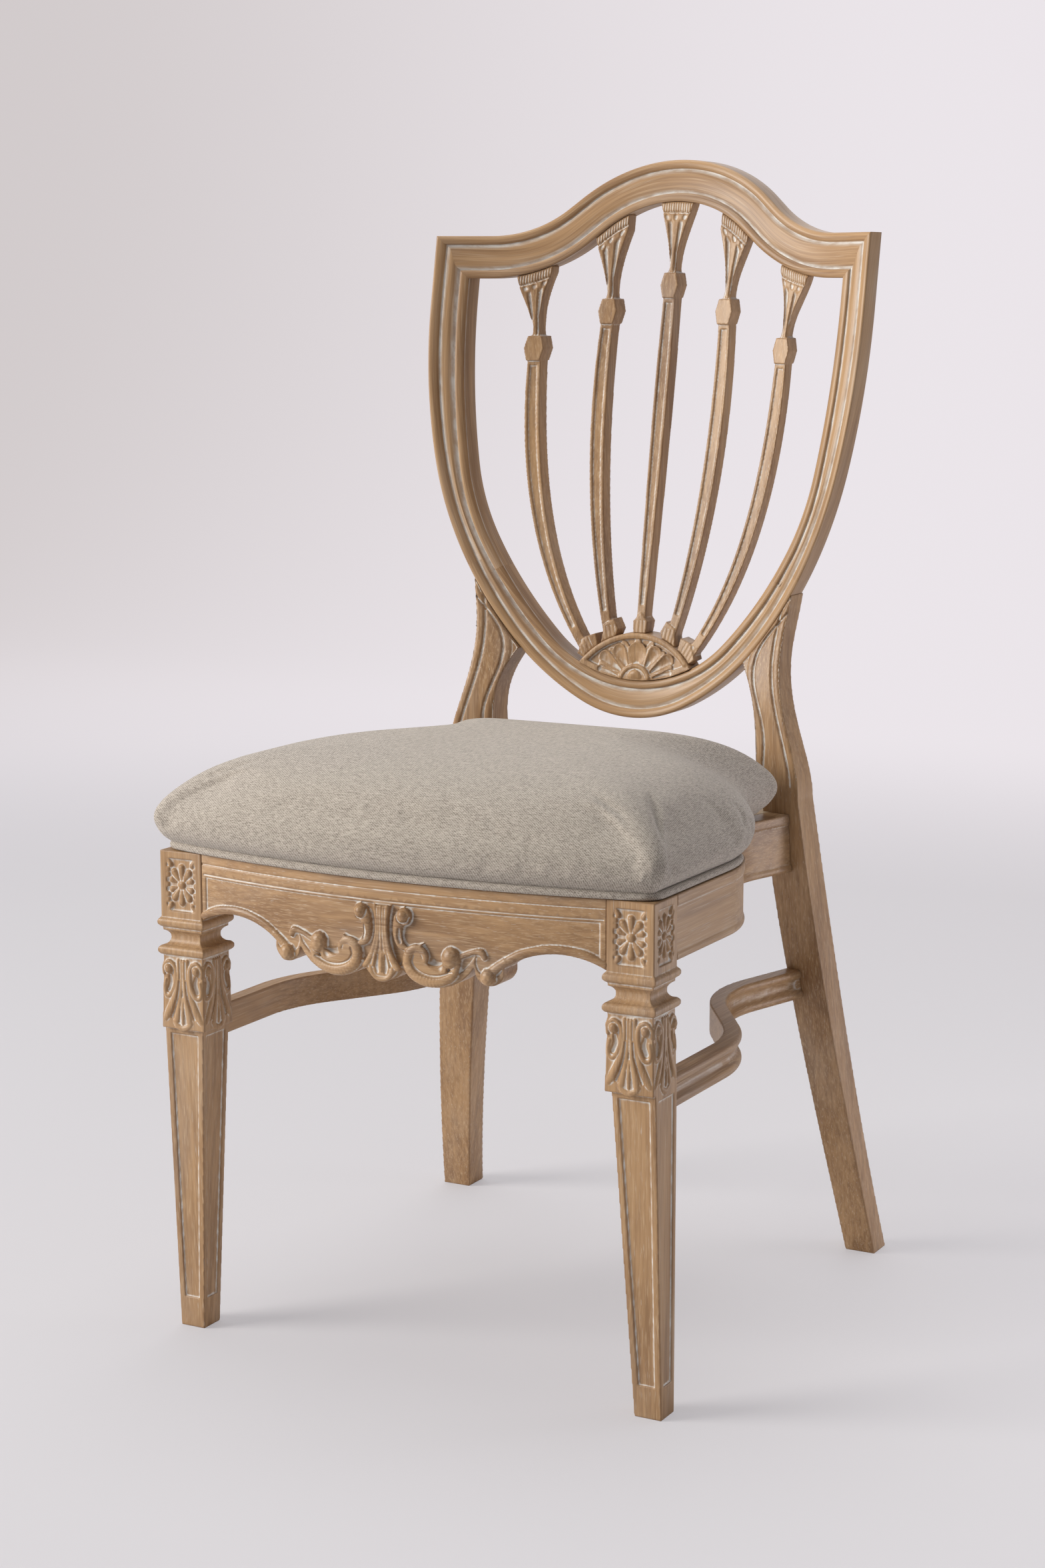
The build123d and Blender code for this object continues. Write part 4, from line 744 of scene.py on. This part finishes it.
def outline(bottom, corner, arcs, radius, hollow, rise):
    # the right half as three runs: to the joint of bow and side, to the corner, to the top
    spot = np.array((0.0, bottom))
    heading = 0.0
    line = [spot[None]]
    for part, turn in arcs:
        points, heading = arcRun(spot, heading, part * (corner - bottom), turn)
        spot = points[-1]
        line.append(points)
    line.append(np.array([(spot[0], corner)]))
    line = np.vstack(line)
    cut = int(np.argmax(line[:, 1] > shieldSet["joint"]))
    part = (shieldSet["joint"] - line[cut - 1, 1]) / (line[cut, 1] - line[cut - 1, 1])
    joint = line[cut - 1] + part * (line[cut] - line[cut - 1])
    slope = math.radians(shieldSet["turn"])
    run = (rise - (radius + hollow) * (1 - math.cos(slope))) / math.sin(slope)
    flat = (radius + hollow) * math.sin(slope) + run * math.cos(slope)
    dip, heading = arcRun(np.array((flat, corner)), math.pi, hollow, -shieldSet["turn"])
    start = dip[-1] + run * np.array((math.cos(heading), math.sin(heading)))
    crown, heading = arcRun(start, heading, radius, shieldSet["turn"])
    top = np.vstack([line[-1:], [(flat, corner)], dip, start[None], crown])
    return [np.vstack([line[:cut], joint]), np.vstack([joint, line[cut:]]), top]


def lengths(line):
    return np.linalg.norm(np.diff(line, axis=0), axis=1)


def spaced(line, count):
    far = np.concatenate([[0], np.cumsum(lengths(line))])
    at = np.linspace(0, far[-1], count)
    return np.stack([np.interp(at, far, line[:, axis]) for axis in range(2)], 1)


def leftOf(line):
    # unit offsets to the left of a line
    way = np.gradient(line, axis=0)
    way /= np.linalg.norm(way, axis=1)[:, None]
    return np.stack([-way[:, 1], way[:, 0]], 1)


def offsetRuns(runs, distance, counts):
    # the outline moved to the left, trimmed or let out to the mitre at the corner, each run evenly spaced
    low = np.vstack([runs[0], runs[1][1:]])
    high = runs[2]
    corner = high[0]
    mitre = corner - distance
    aslant = np.array((1.0, -1.0))
    below = low + distance * leftOf(low)
    below[0, 0] = 0
    above = high + distance * leftOf(high)
    above[-1, 0] = 0
    below = np.vstack([below[(below - corner) @ aslant > shieldSet["trim"]], mitre])
    above = np.vstack([mitre, above[(above - corner) @ aslant < -shieldSet["trim"]]])
    joint = runs[0][-1] + distance * leftOf(runs[0])[-1]
    cut = int(np.argmin(np.linalg.norm(below - joint, axis=1)))
    parts = [spaced(below[:cut + 1], counts[0]), spaced(below[cut:], counts[1]), spaced(above, counts[2])]
    return np.vstack([parts[0], parts[1][1:], parts[2][1:]])


def shieldRuns():
    kit = shieldSet
    tall = kit["corner"] - kit["bottom"]
    width = kit["crestWidth"]
    crown = kit["round"] * tall
    dip = kit["dip"] * tall
    outer = outline(kit["bottom"], kit["corner"], kit["outer"], crown, dip, kit["rise"])
    inner = outline(
        kit["bottom"] + kit["bowWidth"], kit["corner"] - width - kit["innerDrop"], kit["inner"],
        crown - width, dip + width, kit["rise"] + kit["innerRise"],
    )
    return outer, inner


outerRuns, innerRuns = shieldRuns()


def beadRow(width, depth, count=9):
    # a half-round bead as distances from the edge and depths
    at = 0.5 - 0.5 * np.cos(np.linspace(0, math.pi, count))
    return [(float(t * width), float(depth * (1 - math.sqrt(max(0.0, 1 - (2 * t - 1) ** 2))))) for t in at]


# across the frame from the outer edge: edge it is measured from, distance, depth behind the front, wax
rearY = shieldSet["depth"]
profile = [("outer", d, p, 0.0) for d, p in beadRow(*shieldSet["outerBead"])]
profile += [
    ("outer", 7.9, 3.1, 0.75), ("outer", 8.6, 3.0, 0.85), ("outer", 9.4, 2.3, 0.7),
    ("outer", 10.4, 1.75, 0.5), ("outer", shieldSet["outerBand"], 1.4, 0.3),
]
profile += [("band", t, 1.4 - 0.5 * math.sin(math.pi * t), 0.0) for t in (0.14, 0.3, 0.5, 0.7, 0.86)]
profile += [
    ("inner", shieldSet["innerBand"], 1.4, 0.3), ("inner", 9.9, 1.75, 0.5), ("inner", 9.0, 2.3, 0.75),
    ("inner", 8.2, 3.0, 0.95), ("inner", 7.5, 3.1, 0.85),
]
profile += [("inner", d, p, 0.0) for d, p in reversed(beadRow(*shieldSet["innerBead"]))]
profile += [
    ("inner", 0.0, 3.4, 0.7), ("inner", 0.0, 5.0, 0.25), ("inner", 0.0, 12.0, 0.1), ("inner", 0.0, 22.6, 0.1),
    ("inner", 0.3, 23.4, 0.3), ("inner", 4.6, 27.4, 0.1), ("inner", shieldSet["innerRear"], rearY, 0.0),
]
profile += [("rear", t, rearY, 0.0) for t in (0.75, 0.5, 0.25)]
profile += [("outer", shieldSet["outerRear"], rearY, 0.0), ("outer", 0.7, 27.4, 0.0)]
profile += [("outer", 0.0, p, 0.0) for p in (26.0, 18.0, 10.0, 4.0)]


def shieldSections():
    # sections of the right half and the index of the joint and the corner
    counts = [int(lengths(run).sum() / shieldSet["pace"]) for run in outerRuns]

    def edgeLine(edge, distance):
        if edge == "outer":
            return offsetRuns(outerRuns, distance, counts)
        return offsetRuns(innerRuns, -distance, counts)

    middle = (edgeLine("outer", 0.0) + edgeLine("inner", 0.0)) / 2
    far = np.concatenate([[0], np.cumsum(lengths(middle))])
    between = {
        "band": (edgeLine("outer", shieldSet["outerBand"]), edgeLine("inner", shieldSet["innerBand"])),
        "rear": (edgeLine("outer", shieldSet["outerRear"]), edgeLine("inner", shieldSet["innerRear"])),
    }
    sections = []
    for edge, distance, depth, _ in profile:
        if edge in between:
            start, stop = between[edge]
            spot = start + (stop - start) * distance
        else:
            spot = edgeLine(edge, distance)
        sections.append(np.stack([spot[:, 0], bendY(spot[:, 0], spot[:, 1]) + depth, spot[:, 1]], 1))
    return np.stack(sections, 1), far, counts[0] - 1, counts[0] + counts[1] - 2


def framePiece(name, sections, far):
    # a closed skin over a row of sections, with the wax of the profile and a place along the piece
    bm = bmesh.new()
    rows = [[bm.verts.new(Vector(spot) * mm) for spot in section] for section in sections]
    for here, after in zip(rows, rows[1:]):
        for index in range(len(here)):
            bm.faces.new((here[index - 1], here[index], after[index], after[index - 1]))
    for row in (rows[0], rows[-1]):
        cap = bm.faces.new(row)
        for edge in cap.edges:
            edge.smooth = False
    bmesh.ops.recalc_face_normals(bm, faces=bm.faces)
    piece = makeObject(bm, name + "_carved")
    mesh = piece.data
    wax = np.tile([column[3] for column in profile], len(sections))
    mesh.attributes.new("cavity", "FLOAT", "POINT").data.foreach_set("value", wax.astype(np.float32))
    width = np.linalg.norm(np.diff(sections, axis=1, prepend=sections[:, :1]), axis=2).cumsum(1)
    grain = np.stack([width, 0 * width, np.tile(far[:, None], (1, width.shape[1]))], 2) * mm
    along = mesh.attributes.new("grain", "FLOAT_VECTOR", "POINT")
    along.data.foreach_set("vector", grain.astype(np.float32).ravel())
    return piece


def buildShield():
    right, far, joint, corner = shieldSections()
    left = right * (-1, 1, 1)
    pieces = {
        "shield_bow": (np.concatenate([left[joint:0:-1], right[:joint + 1]]),
                       np.concatenate([-far[joint:0:-1], far[:joint + 1]])),
        "shield_side_right": (right[joint:corner + 1], far[joint:corner + 1]),
        "shield_side_left": (left[corner:joint - 1:-1], -far[corner:joint - 1:-1]),
        "crest_rail": (np.concatenate([right[corner:], left[-2:corner - 1:-1]]),
                       np.concatenate([far[corner:], 2 * far[-1] - far[-2:corner - 1:-1]])),
    }
    for index, (node, (sections, run)) in enumerate(pieces.items()):
        piece = framePiece(node, sections, run)
        shift = (shieldSet["shift"][0] * (index + 1), shieldSet["shift"][1] * index, 0)
        finishWood(piece, node, upright, shift, "grain")
        print(node, "moulded,", len(piece.data.polygons), "faces")


buildShield()

# splats: reeded band and fluted leaves on each capital, reeds on the foot
# from the outermost to the middle: two places along the foot, the knob, the top
splatPlaces = [
    ((50.5, 533.0), (90.0, 606.0), (121.0, 800.0), (127.5, 870.0)),
    ((30.0, 545.0), (44.0, 607.0), (57.2, 833.0), (61.0, 906.0)),
    ((0.0, 551.0), (0.0, 640.0), (0.0, 856.0), (0.0, 929.0)),
]
capitalSet = {
    "skin": 5.0, "skinFade": 2.0, "band": 9.5, "bandTall": 30.0, "tall": 40.0, "reed": 2.3, "reedDepth": 0.5,
    "roll": 1.3, "line": 1.2, "lineDrop": 0.6, "lineHalf": 1.1,
    "rises": (0.15, 0.4, 0.75, 0.97), "halves": (5.6, 5.3, 11.2, 15.6),
    "flute": 2.2, "fluteAt": 0.46, "fluteHalf": 0.22, "fluteDrop": 6.0, "fluteFade": 5.0,
    "rise": 10.0, "riseFade": 6.0,
    "arch": 2.5, "archDrop": 4.0, "archDepth": 1.1, "arches": (-0.68, 0.0, 0.68), "archTall": 0.7,
    "toe": 0.25, "toeReed": 3.8, "toeLong": 11.0, "toeHalf": 8.0,
}
crestUnder = innerRuns[2][np.argsort(innerRuns[2][:, 0])]


def dent(distance, half):
    return np.clip(1 - (distance / half) ** 2, 0, 1)


def reeding(distance, width):
    return 0.5 + 0.5 * np.cos(2 * math.pi * distance / width)


def carveSplat(node):
    number = int(node[-1])
    side = -1 if number < 3 else 1
    foot, shaft, knob, cap = splatPlaces[min(number, 6 - number) - 1]
    kit = capitalSet

    def carve(points, normals):
        u, v, w = backFace["find"](points)
        u = u * side
        below = np.interp(u, crestUnder[:, 0], crestUnder[:, 1]) - v
        band = kit["band"]
        high = v > cap[1] - kit["tall"]
        reeds = kit["reedDepth"] * reeding(u - cap[0], kit["reed"])
        roll = kit["roll"] * (1 - np.sqrt(dent(2 * below / band - 1, 1)))
        push = np.where((below < band) & (v > cap[1] - kit["bandTall"]), reeds + roll, 0.0)
        push += kit["line"] * dent(below - band - kit["lineDrop"], kit["lineHalf"]) * high
        rise = np.clip((v - knob[1]) / (cap[1] - knob[1]), 0, 1)
        middle = knob[0] + (cap[0] - knob[0]) * rise
        half = np.interp(rise, kit["rises"], kit["halves"])
        for place in kit["arches"]:
            drop = kit["archTall"] * (below - band - kit["archDrop"])
            push += kit["archDepth"] * dent(np.hypot(u - middle - place * half, drop), kit["arch"]) * high
        flute = kit["flute"] * dent(np.abs(u - middle) / half - kit["fluteAt"], kit["fluteHalf"])
        flute *= np.clip((below - band - kit["fluteDrop"]) / kit["fluteFade"], 0, 1)
        push += flute * np.clip((v - knob[1] - kit["rise"]) / kit["riseFade"], 0, 1)
        way = np.subtract(shaft, foot) / np.linalg.norm(np.subtract(shaft, foot))
        along = (u - foot[0]) * way[0] + (v - foot[1]) * way[1]
        over = (u - foot[0]) * way[1] - (v - foot[1]) * way[0]
        toe = (along < kit["toeLong"]) & (np.abs(over) < kit["toeHalf"])
        push += np.where(toe, kit["toe"] * reeding(over, kit["toeReed"]), 0.0)
        points[:, 1] += push * np.clip((w + kit["skin"]) / kit["skinFade"], 0, 1) * mm
        return points

    return carve


# posts above the seat: a groove along both edges of the front face leaves a bead on each
postSet = {
    "low": 428.0, "high": 604.0, "step": 6.0, "bead": 7.6, "half": 1.7, "depth": 2.0, "round": 1.2,
    "roundWide": 3.0, "fade": 12.0, "facing": 0.6, "degree": 5,
}


def carvePost(points, normals):
    kit = postSet
    u = np.abs(points[:, 0]) / mm
    v = points[:, 2] / mm
    front = (normals[:, 1] < -kit["facing"]) & (v > kit["low"]) & (v < kit["high"])
    heights = np.arange(kit["low"], kit["high"], kit["step"])
    widths = []
    for height in heights:
        near = u[front & (np.abs(v - height) < kit["step"] / 2)]
        widths.append((near.min(), near.max()) if len(near) else widths[-1])
    widths = np.array(widths)
    middle = heights - heights.mean()
    inner, outer = [np.polynomial.Polynomial.fit(middle, widths[:, i], kit["degree"]) for i in (0, 1)]
    rise = np.clip(v - heights.mean(), middle[0], middle[-1])
    push = np.zeros(len(points))
    for gap in (u - inner(rise), outer(rise) - u):
        push += kit["depth"] * dent(gap - kit["bead"], kit["half"])
        push += kit["round"] * np.clip(1 - gap / kit["roundWide"], 0, 1) ** 2
    fade = np.clip((v - kit["low"]) / kit["fade"], 0, 1)
    points[:, 1] += np.where(front, push * fade, 0) * mm
    return points


easeSet = {"splat": 6, "other": 3}
# piece: voxel, most triangles in thousands, fibre direction, shift of the pattern
woodPieces = {
    "front_leg_left": (0.65, 150, upright, (0.31, 0.12, 0.4)),
    "front_leg_right": (0.65, 150, upright, (1.73, 0.55, 1.4)),
    "rear_leg_left": (1.0, 104, upright, (2.11, 0.91, 2.2)),
    "rear_leg_right": (1.0, 104, upright, (3.37, 1.13, 3.1)),
    "front_rail": (0.6, 170, across, (0.21, 2.52, 0.7)),
    "rear_rail": (1.5, 24, across, (0.61, 3.52, 1.7)),
    "side_rail_left": (1.1, 80, deepways, (4.11, 0.31, 0.2)),
    "side_rail_right": (1.1, 80, deepways, (5.23, 0.77, 1.2)),
    "stretcher_left": (1.0, 70, deepways, (6.02, 1.31, 2.2)),
    "stretcher_right": (1.0, 70, deepways, (7.19, 1.57, 3.2)),
    "fan": (0.55, 114, upright, (4.44, 3.33, 2.7)),
    "splat_1": (0.65, 104, upright, (5.17, 3.71, 0.3)),
    "splat_2": (0.65, 104, upright, (6.29, 4.19, 1.1)),
    "splat_3": (0.65, 104, upright, (7.41, 4.67, 1.9)),
    "splat_4": (0.65, 104, upright, (8.53, 5.11, 2.7)),
    "splat_5": (0.65, 104, upright, (9.67, 5.59, 3.5)),
}
for node, (voxel, most, turn, shift) in woodPieces.items():
    meshes = ()
    carve = None
    if node.startswith("front_leg"):
        meshes, carve = carveLeg(1 if node.endswith("right") else -1)
    elif node == "front_rail":
        meshes, carve = carveApron()
    elif node.startswith("rear_leg"):
        carve = carvePost
    elif node == "fan":
        meshes, carve = carveFan()
    elif node.startswith("splat"):
        carve = carveSplat(node)
    smooth = easeSet["splat" if node.startswith("splat") else "other"]
    piece = carvedPiece(node, voxel * mm, most * 1000, smooth, meshes, carve)
    finishWood(piece, node, turn, shift)
    print(node, "carved,", len(piece.data.polygons), "faces")

# plain nodes that stay as they are
plainShift = (1.3, 0.7)
plainNodes = {"dowels": upright, "seat_board": across}
for place in ("front_left", "front_right", "rear_left", "rear_right"):
    plainNodes["corner_block_" + place] = across
plainNodes["rail_screws"] = plainNodes["seat_screws"] = upright
for index, (node, turn) in enumerate(plainNodes.items()):
    group, kit = (zincGroup, zincSet) if node.endswith("screws") else (rawGroup, rawSet)
    shift = (index * plainShift[0], index * plainShift[1], 0)
    coat = dress(node + "_finish", group, turn, shift, kit)
    nodes[node].data.materials.clear()
    nodes[node].data.materials.append(coat)
print("plain nodes finished")

# heathered twill on the cushion and the welt, with painted shade in its creases
clothSet = {
    "light": (0.52, 0.465, 0.40), "dark": (0.20, 0.17, 0.14), "creaseShade": (0.16, 0.145, 0.125), "pitch": 1.25,
    "lengthways": ((1, 0.14, 1), 1300, 2.0, 0.6), "sideways": ((0.14, 1, 0.7), 1300, 2.0, 0.6),
    "fleck": (1500, 2.0, 0.7), "shares": (0.36, 0.34, 0.3, 0.10), "range": (0.36, 0.60),
    "creaseShadeRange": (0.1, 0.9), "creaseShadeShare": 0.75, "rough": (0.1, 0.85),
    "bump": (0.45, 0.0004),
    "looks": {"Specular IOR Level": 0.15, "Sheen Weight": 0.25, "Sheen Roughness": 0.5},
}


def twillWeave():
    group, place, cavity = newGroup("twillWeave")
    kit = clothSet
    split = put(group, "ShaderNodeSeparateXYZ", {0: place})
    x, y, z = [share(group, way, 2 * math.pi / (kit["pitch"] * mm)) for way in split.outputs]
    flat = calc(group, "ADD", y, z)
    twill = calc(group, "SINE", share(group, calc(group, "ADD", x, flat), 0.5))
    yarn = share(group, calc(group, "SINE", x), calc(group, "SINE", flat))
    height = share(group, calc(group, "ADD", twill, yarn), 0.5)
    ways = (kit["lengthways"], kit["sideways"])
    threads = [noise(group, stretched(group, place, scale), *rest) for scale, *rest in ways]
    fleck = noise(group, place, *kit["fleck"])
    heather = 0.0
    for value, part in zip(threads + [fleck, height], kit["shares"]):
        heather = calc(group, "MULTIPLY_ADD", value, part, heather)
    body = blendColour(group, soften(group, heather, *kit["range"]), kit["dark"], kit["light"])
    # painted shade: the cloth darkens toward a near-black tone in its creases and hollows
    creaseShade = share(group, soften(group, cavity, *kit["creaseShadeRange"]), kit["creaseShadeShare"])
    colour = blendColour(group, creaseShade, body, kit["creaseShade"])
    rough = calc(group, "MULTIPLY_ADD", fleck, *kit["rough"])
    return closeGroup(group, colour, rough, height)


twillGroup = twillWeave()
cushionSet = {
    "voxel": 3.6, "shrink": 0.988, "pressure": 4.0, "frames": 20, "cap": 5.0, "pinBelow": 5.0,
    "ease": 6, "fuller": 1.5, "leastWay": 0.3, "triangles": 150000, "rounds": 10, "reach": 1.0, "fill": 0.75,
    "tuck": 20.0, "drawn": 9.0, "drop": 3.4,
}
weltSet = {"voxel": 1.0, "triangles": 60000, "ease": 2, "tuckEnd": 45.0, "tuckIn": 7.0, "thinner": 0.8}


def stuffCushion():
    kit = cushionSet
    bm = nodeForm("seat_cushion")
    low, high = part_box("seat_cushion")
    middle = Vector(((low.x + high.x) / 2, (low.y + high.y) / 2, low.z))
    bmesh.ops.scale(bm, verts=bm.verts, vec=[kit["shrink"]] * 3, space=Matrix.Translation(-middle))
    cushion = makeObject(bm, "cushion")
    fuse(cushion, kit["voxel"] * mm, kit["ease"])
    start = readPoints(cushion.data)
    held = cushion.vertex_groups.new(name="held")
    lowest = np.where(start[:, 2] < low.z + kit["pinBelow"] * mm)[0]
    held.add([int(i) for i in lowest], 1.0, "REPLACE")
    cloth = cushion.modifiers.new("stuffing", "CLOTH")
    cloth.settings.use_pressure = True
    cloth.settings.uniform_pressure_force = kit["pressure"]
    cloth.settings.effector_weights.gravity = 0
    cloth.settings.vertex_group_mass = "held"
    for step in range(1, kit["frames"] + 1):
        scene.frame_set(step)
    graph = bpy.context.evaluated_depsgraph_get()
    swollen = bpy.data.meshes.new_from_object(cushion.evaluated_get(graph))
    ends = readPoints(swollen)
    bpy.data.meshes.remove(swollen)
    cushion.modifiers.remove(cloth)
    scene.frame_set(1)
    way = ends - start
    length = np.maximum(np.linalg.norm(way, axis=1), 1e-9)
    cap = kit["cap"] * mm
    start = start + way * np.minimum(1, cap / length)[:, None]
    print("cushion stuffed, moved up to", round(float(length.max()) * 1000, 1), "mm before the cap")
    # fuller shoulders, and the lower edge drawn in to the welt
    tall = high.z - low.z
    top = start[:, 2].max() - low.z
    level = np.clip((start[:, 2] - low.z) / top, 0, 1)
    start[:, 2] = low.z + min(top, tall) * (1 - (1 - level) ** kit["fuller"])
    t = np.clip(1 - (start[:, 2] - low.z) / (kit["tuck"] * mm), 0, 1) ** 2
    way = readNormals(cushion.data) * (1, 1, 0)
    way = way / np.maximum(np.linalg.norm(way, axis=1), kit["leastWay"])[:, None]
    start = start - way * (t * kit["drawn"] * mm)[:, None]
    start[:, 2] -= t * kit["drop"] * mm
    writePoints(cushion.data, start)
    finer = cushion.modifiers.new("finer", "SUBSURF")
    finer.levels = finer.render_levels = 1
    bakeMesh(cushion, "cushion")
    markHollows(cushion.data, kit["rounds"], kit["reach"] * mm)
    thinOut(cushion, kit["triangles"])
    return cushion


def finishCloth(piece, node):
    coat = dress("twill_" + node, twillGroup, upright, (0, 0, 0), clothSet, "cavity")
    handOver(piece, node, coat)


def tuckEnds(points, normals):
    # both ends of the cord thin out and slip in under the cushion
    low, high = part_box("welt")
    t = np.clip((points[:, 1] - high.y) / (weltSet["tuckEnd"] * mm) + 1, 0, 1) ** 2
    points[:, 2] = low.z + (points[:, 2] - low.z) * (1 - weltSet["thinner"] * t)
    points[:, 0] -= np.sign(points[:, 0]) * weltSet["tuckIn"] * t * mm
    return points


cushion = stuffCushion()
finishCloth(cushion, "seat_cushion")
welt = carvedPiece("welt", weltSet["voxel"] * mm, weltSet["triangles"], weltSet["ease"], carve=tuckEnds)
welt.name = "welt_cord"
finishCloth(welt, "welt")
print("seat dressed")
